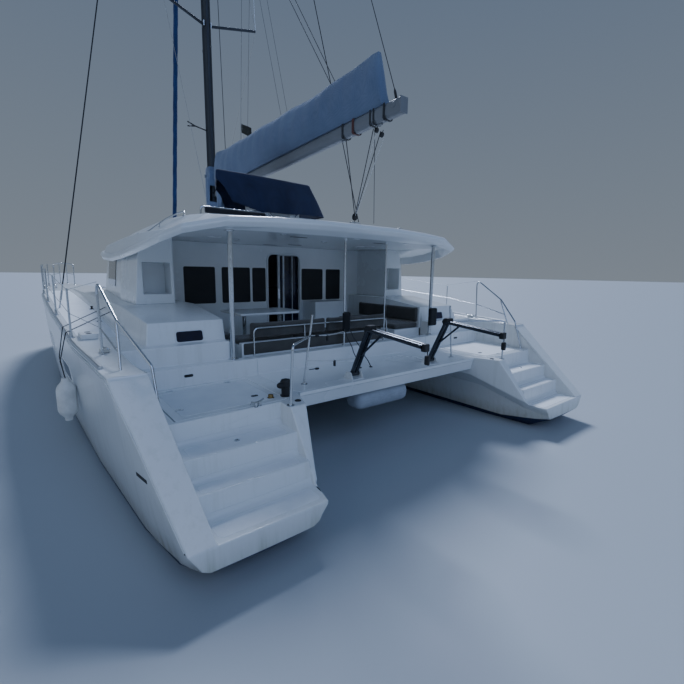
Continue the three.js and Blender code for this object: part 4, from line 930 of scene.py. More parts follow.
# Each ring of the bag: station, half width and height; then its side, as shares of width and height
BAG_RINGS = [(0.70, 0.13, 0.88), (-0.30, 0.21, 0.80), (-2.0, 0.22, 0.76), (-3.8, 0.19, 0.70),
             (-5.05, 0.13, 0.76), (-5.19, 0.11, 0.745), (-5.33, 0.10, 0.05)]
BAG_SIDE = [(0.42, 0.0), (0.8, 0.1), (1.0, 0.32), (0.93, 0.58), (0.68, 0.82), (0.24, 0.98)]

# The boom: its fore and aft ends, its middle's height at the pin, its rise to the aft end, half its depth
BOOM_FORE, BOOM_AFT, BOOM_PIN, BOOM_RISE, BOOM_HALF = 0.75, -5.68, 4.44, 0.26, 0.105


def boom_top(y):
    """The height of the boom's upper face at a station."""
    return BOOM_PIN + (y - BOOM_FORE) / (BOOM_AFT - BOOM_FORE) * BOOM_RISE + BOOM_HALF


def bag_size(y):
    """The bag's half width and height at a station, between its rings."""
    for (y0, w0, h0), (y1, w1, h1) in zip(BAG_RINGS, BAG_RINGS[1:]):
        if y >= y1:
            break
    share = (y - y0) / (y1 - y0)
    return w0 + share * (w1 - w0), h0 + share * (h1 - h0)


# The bag: its fore and aft ends, the steps between its sections, the span between its straps, and its sag
BAG_FORE, BAG_AFT, BAG_STEP, STRAP_SPAN, BAG_SAG = 0.70, -5.33, 0.06, 1.2, 0.012


def bag_ring(y):
    """One cross section of the bag, sagging between the straps that hold it up."""
    wide, high = bag_size(y)
    back = BAG_FORE - y
    sag = BAG_SAG * (1 - math.cos(back * 2 * math.pi / STRAP_SPAN)) * min(1, back * 2)
    ripple = 0.006 * math.sin(y * 17.0) + 0.004 * math.sin(y * 41.0 + 1)
    side = [(max(0.012, (wide - 0.014) * s + ripple * (0.3 < h < 0.95)), (high - sag * h) * h + 0.001)
            for s, h in BAG_SIDE]
    ring = side + [(-x, z) for x, z in reversed(side)]
    return [(x, y, boom_top(y) + z) for x, z in ring]


stations = [y for y in (BAG_FORE - k * BAG_STEP for k in range(101)) if y > BAG_AFT] + [BAG_AFT]
bag = outward(skinned([bag_ring(y) for y in stations]))
sail_bag = place("sail_bag_canvas", bag, bag_canvas, "boom", ["sail_bag"], smooth=38)


def cloth_round(stations, name, body, laced=()):
    """A strip of the bag's cloth round a spar: height, fore end, aft end and half width of each row. Between
    the rows that laced names, its two aft edges are laced together."""
    rows = []
    for k, (z, fore, aft, wide) in enumerate(stations):
        half = [(wide, aft), (wide, (fore + aft) / 2), (wide * 0.72, fore - 0.05)]
        bend = half + [(0, fore)] + [(-x, y) for x, y in half[::-1]]
        smooth_bend = rounded([(x, y, z + 0.012 * math.sin(x * 19 + k)) for x, y in bend], 0.05, 4)
        ripple = lambda j: Vector((0.007 * math.sin(j * 1.7 + k * 0.9), 0.007 * math.cos(j * 1.3 + k), 0))
        rows.append([point + ripple(j) for j, point in enumerate(smooth_bend)])
    strip = bmesh.new()
    verts = [[strip.verts.new(point) for point in row] for row in rows]
    for one, two in zip(verts, verts[1:]):
        for j in range(len(one) - 1):
            strip.faces.new((one[j], one[j + 1], two[j + 1], two[j]))
    for k in laced:
        strip.faces.new((verts[k][-1], verts[k][0], verts[k + 1][0], verts[k + 1][-1]))
    cloth = place(name, strip, bag_canvas, body, smooth=60)
    walled(cloth, 0.003)


# The bag's front end: one flap drawn round the mast, and an apron that hangs under the boom
MAST_FLAP = [(5.12, 1.335, 0.93, 0.135), (4.90, 1.345, 0.91, 0.148), (4.66, 1.35, 0.91, 0.152),
             (4.26, 1.35, 0.93, 0.15), (4.05, 1.34, 0.95, 0.135)]
APRON = [(4.60, 0.70, 0.15, 0.105), (4.42, 0.71, 0.18, 0.115), (4.24, 0.70, 0.26, 0.105),
         (4.08, 0.66, 0.38, 0.085)]
cloth_round(MAST_FLAP, "bag_mast_flap", "root", (0, 1, 3))
cloth_round(APRON, "bag_front_apron", "boom")


# Davits
# Each is a pair of bent alloy tubes from a pivot on the aft beam, with a moulded cap over its elbow.
# Tube metal, darkened to near black as a painted reflection of dark surroundings, with one narrow bright line
# along it
tube_metal_with_painted_reflection = brushed("tube_metal_darkened_as_painted_reflection", "#50545A", (0.18, 0.3), 0.02, (1, 1, 1))
DAVIT_OUT, TUBE_APART = 0.785, 0.036
ELBOW = [(-6.06, 1.76), (-5.95, 1.74), (-5.92, 1.80), (-5.97, 1.855), (-6.06, 1.85)]
for side, sign in SIDES.items():
    x = sign * DAVIT_OUT
    body = f"davit_{side}"
    arms = bmesh.new()
    for offset in (-TUBE_APART, TUBE_APART):
        path = rounded([(x + offset, -5.69, 1.16), (x + offset, -5.99, 1.79), (x + offset, -6.88, 1.71)],
                       0.07, 8)
        pipe(path, 0.0268, 16, arms)
    pipe([(x - 0.0815, -5.69, 1.16), (x + 0.0815, -5.69, 1.16)], 0.032, 20, arms)
    pipe([(x, -5.84, 1.44), (x, -6.23, 1.77)], 0.014, 12, arms)
    place(f"davit_arms_{side}", arms, tube_metal_with_painted_reflection, body, [f"davit_{side}"])
    caps = prism(ELBOW, 0, x - 0.060, x + 0.060, 0.02, 4)
    box((x - 0.040, -6.93, 1.655), (x + 0.040, -6.86, 1.745), 0.014, 3, caps)
    pipe([(x + 0.035, -6.90, 1.66), (x + 0.035, -6.90, 1.60)], 0.006, 8, caps)
    box((x + 0.015, -6.93, 1.50), (x + 0.055, -6.87, 1.61), 0.014, 3, caps)
    place(f"davit_caps_{side}", caps, black_plastic, body)


# Valise and fender
# The life raft's valise is coated fabric strapped under the beam, and the fender is inflated vinyl.
# Coated polyester: pale grey, smoother and shinier than canvas
valise_cloth = woven("coated_polyester", "#AEB5BE", "#8A929C", 0.005,
                     sheen=0.1, rough=0.55, depth=0.0005, patch=0.3)
swollen("valise_bag", (-0.76, -5.78, 0.61), (0.27, -5.42, 0.8995), valise_cloth, 0.02,
        rounding=0.11, voxel=0.02, stands_for=["valise"])
# Inflated vinyl: white, with a soft wide shine
fender_vinyl = grained("inflated_vinyl", "#E6E6E2", "#D3D2CC", 0.2, 0.004, 0.0003, (0.3, 0.5))
FENDER_END = [(0.001, 0.290), (0.045, 0.290), (0.050, 0.250), (0.075, 0.218), (0.094, 0.195), (0.110, 0.165),
              (0.118, 0.130)]
FENDER_AT, FENDER_TOP = (-3.8502, -3.40, 0.78), (-3.8502, -3.40, 1.065)
fender = turned([(r, -h) for r, h in FENDER_END] + [(r, h) for r, h in reversed(FENDER_END)], FENDER_AT,
                sides=32)
place("fender_body", fender, fender_vinyl, stands_for=["fender"])


# Foredeck
# An alloy crossbeam joins the bows, and a net of cords is stretched between it and the deck. Geometry Nodes
# give the net's edges their thickness.
def growing(name, inputs):
    """A new Geometry Nodes tree with its named inputs, and its two end nodes' sockets."""
    tree = bpy.data.node_groups.new(name, "GeometryNodeTree")
    for way in ("INPUT", "OUTPUT"):
        tree.interface.new_socket("Geometry", in_out=way, socket_type="NodeSocketGeometry")
    for label, (kind, value) in inputs.items():
        tree.interface.new_socket(label, in_out="INPUT", socket_type=kind).default_value = value
    return tree, node(tree, "NodeGroupInput").outputs, node(tree, "NodeGroupOutput").inputs["Geometry"]


def finished_with(tree, made, material, end):
    """Ends a Geometry Nodes tree: its instances made real, shaded smooth, and given their material."""
    real = node(tree, "GeometryNodeRealizeInstances", links={0: made})
    smooth = node(tree, "GeometryNodeSetShadeSmooth", links={"Geometry": real.outputs[0]})
    coated = node(tree, "GeometryNodeSetMaterial", {"Material": material}, {"Geometry": smooth.outputs[0]})
    tree.links.new(coated.outputs[0], end)


def grown(name, seed, tree, values, material, body="root", stands_for=()):
    """Runs a Geometry Nodes tree on a seed shape, and places what it makes."""
    mesh = bpy.data.meshes.new(name + "_seed")
    seed.to_mesh(mesh)
    seed.free()
    item = bpy.data.objects.new(name + "_seed", mesh)
    scene.collection.objects.link(item)
    growth = item.modifiers.new("growth", "NODES")
    growth.node_group = tree
    sockets = {socket.name: socket.identifier for socket in tree.interface.items_tree}
    for label, value in values.items():
        growth[sockets[label]] = value
    flatten(item)
    shape = bmesh.new()
    shape.from_mesh(item.data)
    bpy.data.objects.remove(item)
    return place(name, shape, material, body, stands_for)


def netted(low, high, columns, rows, spread):
    """The edges of a net: a grid of cords between two corners, narrowed at its fore end by a share."""
    shape = bmesh.new()
    verts = []
    for j in range(rows + 1):
        across = 1 + (spread - 1) * j / rows
        mid = (low[0] + high[0]) / 2
        verts.append([shape.verts.new((mid + (low[0] + (high[0] - low[0]) * i / columns - mid) * across,
                                       low[1] + (high[1] - low[1]) * j / rows, low[2]))
                      for i in range(columns + 1)])
    for j in range(rows + 1):
        for i in range(columns + 1):
            if i < columns:
                shape.edges.new((verts[j][i], verts[j][i + 1]))
            if j < rows:
                shape.edges.new((verts[j][i], verts[j + 1][i]))
    return shape


# Polyester netting: off-white and matt
net_cord = woven("polyester_netting", "#E3E4E2", "#C9CBCB", 0.003)
cords, start, end = growing("cords_on_edges",
                            {"Radius": ("NodeSocketFloat", 0.003), "Sides": ("NodeSocketInt", 5),
                             "Slack": ("NodeSocketFloat", 0.003)})
drift = node(cords, "ShaderNodeTexNoise", {"Scale": 3.0}).outputs["Color"]
centred = node(cords, "ShaderNodeVectorMath", {1: (0.5, 0.5, 0.5)}, {0: drift},
               operation="SUBTRACT").outputs[0]
sway = node(cords, "ShaderNodeVectorMath", links={0: centred, "Scale": start["Slack"]},
            operation="SCALE").outputs[0]
moved = node(cords, "GeometryNodeSetPosition",
             links={"Geometry": start["Geometry"], "Offset": sway}).outputs[0]
runs = node(cords, "GeometryNodeMeshToCurve", links={"Mesh": moved}).outputs[0]
circle = node(cords, "GeometryNodeCurvePrimitiveCircle",
              links={"Resolution": start["Sides"], "Radius": start["Radius"]}).outputs[0]
tubes = node(cords, "GeometryNodeCurveToMesh", {"Fill Caps": True},
             {"Curve": runs, "Profile Curve": circle}).outputs[0]
finished_with(cords, tubes, net_cord, end)
net = netted((-2.42, 3.44, 1.910), (2.42, 4.80, 1.910), columns=76, rows=22, spread=0.99)
grown("trampoline_net", net, cords, {"Radius": 0.0035, "Sides": 4, "Slack": 0.012}, net_cord,
      stands_for=["trampoline"])

beam = softened("crossbeam", 0.012, 30)
for x in (-1.5, -0.75, 0.75, 1.5):
    turned([(0.0712, -0.03), (0.0728, -0.025), (0.0728, 0.025), (0.0712, 0.03)], (x, 4.90, 1.90),
           (1, 0, 0), 28, beam)
place("bow_crossbeam", beam, anodised, stands_for=["crossbeam"])


# Engines, keels, rudders and drives
# Keels and rudders in antifouling, primed alloy drive legs, bronze propellers, and each engine as one
# enamelled block under its hatch.
# Antifouling paint: navy and chalky, with no shine
antifouling = grained("navy_antifouling_paint", "#1A2A4E", "#24345A", 0.4, 0.01, 0.0008, (0.75, 0.95))
# Cast bronze: warm yellow metal with a sandy skin
bronze = brushed("cast_bronze", "#B08A4A", (0.25, 0.5), 0.02, depth=0.0003)
# Primed alloy: an even grey, half matt
drive_paint = grained("grey_primed_alloy", "#A6ABB0", "#8C9298", 0.3, 0.01, 0.0004, (0.4, 0.6), Metallic=0.4)
# Enamel over cast iron: pale grey and fairly glossy
enamel = grained("engine_enamel", "#C9CCCB", "#B4B8B7", 0.2, 0.004, 0.0003, (0.3, 0.45))
# Each casting: its name and part, its finish and slot, and its edges' radius, angle, steps and smoothing
for side in SIDES:
    for name, part, *look in (("keel_foil", "keel", antifouling, "antifouling", 0.03, 20, 4, 50),
                              ("rudder_blade", "rudder", antifouling, "antifouling", 0.006, 30, 3, 50),
                              ("drive_leg_casting", "drive_leg", drive_paint, "alloy", 0.006, 30, 3, 50),
                              ("engine_block", "engine", enamel, "engine", 0.03, 30, 3)):
        body = f"rudder_{side}" if part == "rudder" else "root"
        moulded(f"{name}_{side}", f"{part}_{side}", *look, body=body)
# A blade: half its breadth, its middle's distance from the shaft, half its length, and its pitch in radians
BLADE_WIDE, BLADE_MIDDLE, BLADE_LONG, BLADE_PITCH = 0.075, 0.13, 0.083, 0.6
for side, sign in SIDES.items():
    hub = Vector((sign * 2.95, -5.4153, -0.86))
    screw = turned([(0.035, -0.055), (0.052, -0.045), (0.060, -0.02), (0.060, 0.055)], hub, (0, 1, 0), 28)
    for blade in range(3):
        outline = [(math.cos(t) * BLADE_WIDE * (0.5 + 0.5 * math.sin(t / 2) ** 2),
                    BLADE_MIDDLE + math.sin(t) * BLADE_LONG) for t in circling(20)]
        leaf = outward(skinned([[(x, level, z) for x, z in outline] for level in (-0.006, 0.006)]))
        spin = Matrix.Rotation(math.radians(120 * blade), 4, "Y")
        pitch = Matrix.Rotation(sign * BLADE_PITCH, 4, "Z")
        bmesh.ops.transform(leaf, matrix=Matrix.Translation(hub) @ spin @ pitch, verts=leaf.verts)
        screw = joined_up([screw, leaf])
    place(f"propeller_casting_{side}", screw, bronze, f"propeller_{side}",
          [f"propeller_{side}"], 40)


# Standing and running rigging
# Sleeved wire shrouds with turnbuckles, and braided polyester lines. Lines between boom and mast swing with
# the boom, because their tops are almost on its hinge.
def rope(name, light, dark, pitch=0.012):
    """A braided line: strands that cross on a slant, given by waves on two axes."""
    material, tree, shader, spot = finish(name, Roughness=0.8, Sheen_Weight=0.2)
    slant = node(tree, "ShaderNodeMapping", {"Rotation": (0.6, 0.7, 0.5)}, {"Vector": spot}).outputs["Vector"]
    ways = [node(tree, "ShaderNodeTexWave", {"Scale": WAVES / pitch, "Distortion": 1.0}, {"Vector": slant},
                 bands_direction=axis).outputs["Fac"] for axis in "XZ"]
    strands = node(tree, "ShaderNodeMath", links={0: ways[0], 1: ways[1]}, operation="MULTIPLY").outputs[0]
    mix = node(tree, "ShaderNodeMix", {"A": linear(light), "B": linear(dark)}, {"Factor": strands},
               data_type="RGBA")
    bump = node(tree, "ShaderNodeBump", {"Strength": 0.8, "Distance": 0.001}, {"Height": strands})
    dressed(tree, shader, Base_Color=mix.outputs["Result"], Normal=bump.outputs["Normal"])
    return material


# Braided polyester: matt, its strands drawn 12 mm apart so that they show
white_rope = rope("white_braided_polyester", "#D9D9D4", "#B6B6B0")
dark_rope = rope("black_braided_polyester", "#2A2B2E", "#191A1C")


def block(at, size, toward, shape):
    """A rope block: two cheeks, a sheave and its strap, hung at a point and turned toward another."""
    at, toward = Vector(at), Vector(toward)
    down = (toward - at).normalized()
    side = down.cross(Vector((1, 0.2, 0))).normalized()
    for way in (-1, 1):
        turned([(size * 0.95, 0), (size, 0.003), (size * 0.8, 0.006), (size * 0.3, 0.0065)],
               at + side * way * 0.010, side * way, 16, shape)
    turned([(size * 0.7, -0.010), (size * 0.55, 0.0), (size * 0.7, 0.010)], at, side, 14, shape)
    pipe([at - down * size * 1.8, at - down * size * 0.9], 0.005, 8, shape)


# The shrouds' wire runs in a dark sleeve, dulled by salt
wire_sleeve = grained("dark_wire_sleeve", "#1E2228", "#15181D", 0.5, 0.01, 0.0002, (0.6, 0.75))
wires, ends = bmesh.new(), bmesh.new()
CHAINPLATE, HOUNDS = (3.70, -1.21, 1.815), (0.098, 1.08, 20.10)
SCREW_REACH = 0.42
TURNBUCKLE = [(0.014, 0.0), (0.014, 0.05), (0.010, 0.06), (0.010, 0.13), (0.017, 0.14), (0.017, 0.30),
              (0.010, 0.31), (0.010, 0.40), (0.008, 0.44)]
for side, sign in SIDES.items():
    foot, head = (Vector((sign * x, y, z)) for x, y, z in (CHAINPLATE, HOUNDS))
    along = (head - foot).normalized()
    pipe([foot + along * SCREW_REACH, head], 0.0105, 8, wires)
    turned(TURNBUCKLE, foot, along, 14, ends)
    box(foot + Vector((-0.035, -0.02, -0.02)), foot + Vector((0.035, 0.02, 0.0)), 0.004, 2, ends)
    # The thinner wires from the mast's foot over the spreaders' tips
    low, tip, high = (sign * 0.095, 1.12, 3.9), (sign * 1.12, 0.71, 8.52), (sign * 0.9, 0.81, 14.58)
    for start, stop in ((low, tip), (tip, high), (high, (sign * 0.06, 1.1, 20.4)),
                        (tip, (sign * 0.09, 1.12, 14.3))):
        pipe([start, stop], 0.0045, 8, ends)
place("shroud_wires", wires, wire_sleeve, stands_for=["shroud_port", "shroud_starboard"])
place("rigging_screws", ends, stainless)

# Mast: luff track, halyards, winches, spreader roots, lights and the masthead
# The luff track takes the spar's aluminium, with its painted shade
place("luff_track", box((-0.011, 0.988, 5.0), (0.011, 1.002, 20.6), 0.002, 1), spar_alloy_with_painted_shade)
WINCH = [(0.030, 0.0), (0.046, 0.004), (0.034, 0.030), (0.032, 0.070), (0.044, 0.082), (0.044, 0.100),
         (0.020, 0.106), (0.012, 0.100)]
track = bmesh.new()
for side in (-1, 1):
    for z in (4.05, 4.9):
        turned(WINCH, (side * 0.088, 1.14, z), (side, 0, 0), 24, track)
    for z in (8.43, 14.5):
        box((side * 0.09 - 0.012, 1.02, z - 0.05), (side * 0.09 + 0.012, 1.16, z + 0.07), 0.006, 2, track)
box((-0.05, 0.72, 21.56), (0.05, 1.60, 21.66), 0.02, 2, track)
place("mast_fittings", track, stainless)
lights = box((-0.05, 1.27, 10.2), (0.05, 1.36, 10.34), 0.02, 3)
box((-0.045, 1.27, 7.9), (0.045, 1.34, 7.98), 0.015, 3, lights)
pipe([(-0.09, 1.14, 6.02), (-0.42, 1.10, 6.06)], 0.016, 8, lights)
for rise in (0.06, -0.04):
    pipe([(-0.38, 1.105, 6.055), (-0.58, 1.08, 6.055 + rise)], 0.016, 8, lights)
place("mast_lights", lights, black_plastic)
lines = bmesh.new()
HALYARDS = [(-0.050, 0.985, 5.35, 20.7), (0.055, 0.99, 4.2, 20.7), (0.105, 1.18, 4.6, 20.2),
            (-0.108, 1.10, 4.6, 20.4)]
for x, y, low, high in HALYARDS:
    pipe([(x, y, low), (x * 0.9, y, high)], 0.0055, 8, lines)
place("halyards", lines, dark_rope)
place("main_halyard", pipe([(0, 0.19, 5.30), (0, 0.97, 20.7)], 0.0075, 8), dark_rope, "boom")

# The furled headsail: turns of sailcloth wound up the forestay over a drum
FORESTAY = (Vector((0, 4.90, 2.13)), Vector((0, 1.292, 20.10)))
SAIL_FROM, SAIL_TO, SAIL_RINGS, WRAP_PITCH = 0.047, 0.925, 241, 0.62
# Its radius, the share of it lost toward the head, and the share of the stay where that starts
SAIL_RADIUS, SAIL_TAPER, TAPER_FROM = 0.066, 0.45, 0.55
along = (FORESTAY[1] - FORESTAY[0]).normalized()
reach = (FORESTAY[1] - FORESTAY[0]).length
side_axis = Vector((1, 0, 0))
front_axis = along.cross(side_axis)
rings = []
for k in range(SAIL_RINGS):
    share = SAIL_FROM + (SAIL_TO - SAIL_FROM) * k / (SAIL_RINGS - 1)
    ends_in = min(1, (share - 0.03) * 30) * min(1, (0.935 - share) * 25)
    swell = SAIL_RADIUS * (1 - SAIL_TAPER * max(0, (share - TAPER_FROM) / 0.45)) * ends_in
    wrap = lambda turn: swell * (0.86 + 0.14 * ((turn / (2 * math.pi) - share * reach / WRAP_PITCH) % 1))
    rings.append([FORESTAY[0] + along * reach * share
                  + (side_axis * math.cos(turn) + front_axis * math.sin(turn)) * wrap(turn)
                  for turn in circling(20)])
furled = outward(skinned(rings))
# The headsail's covering cloth: strong blue, faded in patches
furled_cloth = woven("blue_sail_cover_cloth", "#27406F", "#1B2E56", 0.006,
                     sheen=0.2, depth=0.0008, patch=0.6)
headsail = place("furled_headsail", furled, furled_cloth, stands_for=["forestay_sail"], smooth=40)
drum = turned([(0.03, 0.0), (0.085, 0.005), (0.088, 0.02), (0.045, 0.03), (0.045, 0.11), (0.088, 0.12),
               (0.085, 0.135), (0.03, 0.14), (0.02, 0.30)],
              FORESTAY[0] + along * 0.38, along, 28)
pipe([FORESTAY[0] + along * 0.01, FORESTAY[0] + along * 0.40], 0.012, 12, drum)
pipe([FORESTAY[0] + along * reach * 0.92, FORESTAY[1]], 0.010, 10, drum)
place("furling_drum", drum, stainless)


# Boom: end cap, sheaves, straps, topping lift and lazy jacks
def boom_centre(y):
    """The height of the boom's middle at a station."""
    return boom_top(y) - BOOM_HALF


CAP_FORE, CAP_PROUD, CAP_HALF = -5.665, 0.006, 0.10
END_FACE = [(BOOM_AFT - CAP_PROUD, boom_centre(BOOM_AFT) - CAP_HALF),
            (CAP_FORE, boom_centre(CAP_FORE) - CAP_HALF),
            (CAP_FORE, boom_centre(CAP_FORE) + CAP_HALF),
            (BOOM_AFT - CAP_PROUD, boom_centre(BOOM_AFT) + CAP_HALF)]
cap = prism(END_FACE, 0, -0.07, 0.07, 0.004, 3)
SHEAVE = [(0.03, -0.084), (0.034, -0.080), (0.034, -0.074), (0.012, -0.074)]
turned(SHEAVE + [(r, -h) for r, h in SHEAVE[::-1]], (0, -5.56, boom_centre(-5.56) + 0.02),
       (1, 0, 0), 20, cap)
for y in (-5.22, -4.42):
    z = boom_centre(y) - BOOM_HALF
    box((-0.02, y - 0.05, z - 0.02), (0.02, y + 0.05, z + 0.01), 0.006, 2, cap)
place("boom_end_cap", cap, painted_boom, "boom")
# Webbing: matt black, and one band in faded rust red, in a weave drawn at 3 mm
webbing = woven("black_webbing", "#24272D", "#17191D", 0.003)
red_webbing = woven("rust_webbing", "#5E2F28", "#45211C", 0.003)


def strap_round(y, width, shape):
    """A webbing strap round the boom's sides and underside."""
    z, half = boom_centre(y), 0.0785
    side = [(half, z + 0.10), (half, z - 0.085), (half - 0.022, z - 0.1075)]
    path = side + [(-x, b) for x, b in side[::-1]]
    outer = [(x * 1.035, b - 0.003 * (b < z - 0.1)) for x, b in path]
    prism(path + outer[::-1], 1, y - width / 2, y + width / 2, shape=shape)


bands = bmesh.new()
for y, width in ((-4.47, 0.045), (-5.10, 0.03), (-5.17, 0.03), (-5.38, 0.04)):
    strap_round(y, width, bands)
place("boom_straps", bands, webbing, "boom")
red_band = bmesh.new()
strap_round(-4.72, 0.05, red_band)
place("boom_chafe_band", red_band, red_webbing, "boom")

lift = bmesh.new()
pipe([(0.0, -5.50, 4.93), (0.0, 1.0, 21.3)], 0.0055, 8, lift)
turned([(0.010, -0.14), (0.018, -0.12), (0.018, -0.02), (0.008, 0.02)], (0.0, -5.50, 4.93),
       (0.0, 0.3, 1), 12, lift)
for way in (-1, 1):
    join = Vector((way * 0.09, -1.2, 9.6))
    pipe([join, (way * 0.02, 0.96, 13.6)], 0.004, 8, lift)
    for y in (-0.85, -2.6, -4.14):
        wide, tall = bag_size(y)
        radius = 0.0055 if y < -4 else 0.003
        pipe([(way * (wide * 0.32 + 0.01), y, boom_top(y) + tall * 0.95), join], radius, 6, lift)
place("topping_lift_and_lazy_jacks", lift, dark_rope, "boom")

# Mainsheet: two dark and two pale falls, a line to the boom's middle and a thin one, all from the car on the
# track across the roof.
roof_skin = surface("hardtop")
car_at = landed(roof_skin, (0.08, -4.62, 5.0), (0, 0, -1))[0]
rail = box((-1.1, car_at.y - 0.016, car_at.z - 0.004), (1.1, car_at.y + 0.016, car_at.z + 0.020), 0.004, 2)
box((0.0, car_at.y - 0.04, car_at.z + 0.018), (0.16, car_at.y + 0.04, car_at.z + 0.050), 0.010, 3, rail)
for x in (-1.1, 1.1):
    box((x - 0.03, car_at.y - 0.03, car_at.z - 0.004), (x + 0.03, car_at.y + 0.03, car_at.z + 0.034),
        0.008, 3, rail)
place("mainsheet_track", rail, anodised)
falls, pale_falls, blocks = bmesh.new(), bmesh.new(), bmesh.new()
low_block = Vector((0.08, car_at.y, car_at.z + 0.13))


def fall(x, y, drop, foot, radius, shape):
    """A line in short steps from under the boom to its foot."""
    head = Vector((x, y, boom_centre(y) - drop))
    pipe([head.lerp(foot, s / 12) for s in range(13)], radius, 8, shape)


for y, drop in ((-5.16, 0.17), (-5.27, 0.26)):
    block((0, y, boom_centre(y) - drop), 0.036, low_block, blocks)
for k, (y, drop) in enumerate(((-5.12, 0.14), (-5.16, 0.20), (-5.24, 0.20), (-5.29, 0.30))):
    off = (k - 1.5) * 0.016
    fall(off, y, drop, low_block + Vector((off, off, 0)), 0.006, pale_falls if k % 2 else falls)
fall(0, -4.47, 0.125, low_block, 0.007, falls)
fall(0.02, -5.10, 0.115, Vector((0.40, -4.72, 3.29)), 0.004, falls)
block(low_block, 0.055, (0, -4.8, 4.42), blocks)
for name, shape, material, slot in (("mainsheet_falls", falls, dark_rope, "bag"),
                                    ("mainsheet_pale_falls", pale_falls, white_rope, "bag"),
                                    ("mainsheet_blocks", blocks, black_plastic, "fabric")):
    piece = place(name, shape, material, None)
    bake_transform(piece)

# A plain flag on its halyard under the starboard spreader
halyard = pipe([(0.80, 0.86, 8.48), (1.00, 1.40, 6.5), (1.25, 1.6, 3.28)], 0.0025, 6)
place("flag_halyard", halyard, white_rope)
flag = bmesh.new()
ripple = lambda i, j: 1.42 - i * 0.019 + 0.012 * math.sin(i * 0.9 + j * 0.5)
grid = [[flag.verts.new((1.0 + i * 0.029, ripple(i, j), 6.50 - j * 0.030 - i * 0.013)) for i in range(9)]
        for j in range(9)]
for upper, lower in zip(grid, grid[1:]):
    for i in range(8):
        flag.faces.new((upper[i], upper[i + 1], lower[i + 1], lower[i]))
# Bunting: thin, dull and dark
flag_cloth = woven("flag_bunting", "#3A3B34", "#2B2C27", 0.004)
pennant = place("plain_flag", flag, flag_cloth, smooth=60)
walled(pennant, 0.002)


# Door and doorway
# A sliding leaf of painted alloy round one tinted pane runs inside the bulkhead. Its opening has a moulded
# surround with rounded top corners.
pane = prism(rounded_edge(0.676, 1.672, 0.03, (0.535, 1.9955)), 1, -2.0228, -2.0146, 0.0015)
place("door_pane", pane, tinted, "saloon_door")
# White paint on aluminium: a little greyer than the gelcoat
leaf_paint = grained("white_painted_aluminium", "#D4D8DA", "#C6CBCE", 0.5, 0.01, 0.0002, (0.3, 0.45))
coated("saloon_door", leaf_paint)
grip = prism(rounded_edge(0.034, 0.22, 0.012, (0.168, 2.03)), 1, -2.0262, -2.0235, 0.0008)
place("door_grip", grip, stainless, "saloon_door")
DOOR_PORT, DOOR_STARBOARD, DOOR_HEAD, DOOR_BEND = -0.150, 0.650, 2.865, 0.16
SURROUND = [(DOOR_PORT, -2.104, 1.102), (DOOR_PORT, -2.104, DOOR_HEAD), (DOOR_STARBOARD, -2.104, DOOR_HEAD),
            (DOOR_STARBOARD, -2.104, 1.102)]
surround = pipe(rounded(SURROUND, DOOR_BEND, 10), 0.020, 12)
for way, corner in ((1, DOOR_PORT), (-1, DOOR_STARBOARD)):
    arc = [(corner + way * DOOR_BEND * (1 - math.cos(t)), DOOR_HEAD - DOOR_BEND * (1 - math.sin(t)))
           for t in [math.pi / 2 * k / 8 for k in range(9)]]
    prism([(corner, DOOR_HEAD)] + arc, 1, -2.106, -2.098, shape=surround)
place("doorway_surround", surround, gelcoat)
POST_LOW, POST_HIGH = 1.101, 2.849
post = box((0.225, -2.092, POST_LOW), (0.262, -2.076, POST_HIGH), 0.004, 2)
box((0.452, -2.090, POST_LOW), (0.468, -2.078, POST_HIGH), 0.004, 2, post)
place("doorway_posts", post, leaf_paint)

# Rubber gaskets round the aft panes: a matt black edge
gasket = grained("black_rubber_gasket", "#1B1C1E", "#26272A", 0.3, 0.004, 0.0003, (0.5, 0.7))
seals = bmesh.new()
for x0, x1 in ((-1.84, -1.27), (-1.12, -0.55), (-0.48, -0.20), (0.70, 1.25), (1.36, 1.75)):
    outer, inner = [rounded_edge(x1 - x0 + grow, 0.67 + grow, 0.03, ((x0 + x1) / 2, 2.225))
                    for grow in (0.018, -0.014)]
    skinned([[(x, y, z) for x, z in edge]
             for edge, y in ((inner, -2.096), (inner, -2.104), (outer, -2.104), (outer, -2.0995))], seals)
place("aft_pane_gaskets", seals, gasket)


# Hardtop fittings
# Flush lamps and vents in the roof's underside, and a stainless grab rail on each side of its top.
steel_bits, lamp_glass, slots = bmesh.new(), bmesh.new(), bmesh.new()
for x, y in ((-1.24, -4.66), (1.24, -4.66), (-1.30, -3.2), (1.30, -3.2), (0.0, -3.9)):
    point = landed(roof_skin, (x, y, 2.4), (0, 0, 1))[0]
    turned([(0.052, 0.0), (0.052, -0.006), (0.046, -0.009), (0.036, -0.007)], point, (0, 0, 1),
           28, steel_bits)
    turned([(0.036, -0.002), (0.036, -0.0075), (0.02, -0.009)], point, (0, 0, 1), 24, lamp_glass)
for x, y in ((-0.24, -2.40), (0.12, -2.75), (-0.80, -4.35), (0.90, -4.35)):
    point = landed(roof_skin, (x, y, 2.4), (0, 0, 1))[0]
    prism(rounded_edge(0.30, 0.05, 0.02, (x, y)), 2, point.z - 0.004, point.z + 0.001, 0.001, 1, slots)
for side, sign in SIDES.items():
    path = []
    for k in range(9):
        x, y = sign * (2.62 - 0.05 * k), -2.35 - 0.14 * k
        point = landed(roof_skin, (x, y, 5), (0, 0, -1))[0]
        path.append(point + Vector((0, 0, 0.055)))
        if k % 4 == 0:
            pipe([point, path[-1]], 0.008, 10, steel_bits)
            turned([(0.026, -0.004), (0.026, 0.004), (0.018, 0.008), (0.010, 0.009)], point, (0, 0, 1),
                   18, steel_bits)
    pipe([path[0] - Vector((0, -0.03, 0.02))] + path + [path[-1] - Vector((0, 0.03, 0.02))], 0.0105,
         12, steel_bits)
place("roof_steel", steel_bits, stainless)
place("roof_lamp_lenses", lamp_glass, white_rubber)
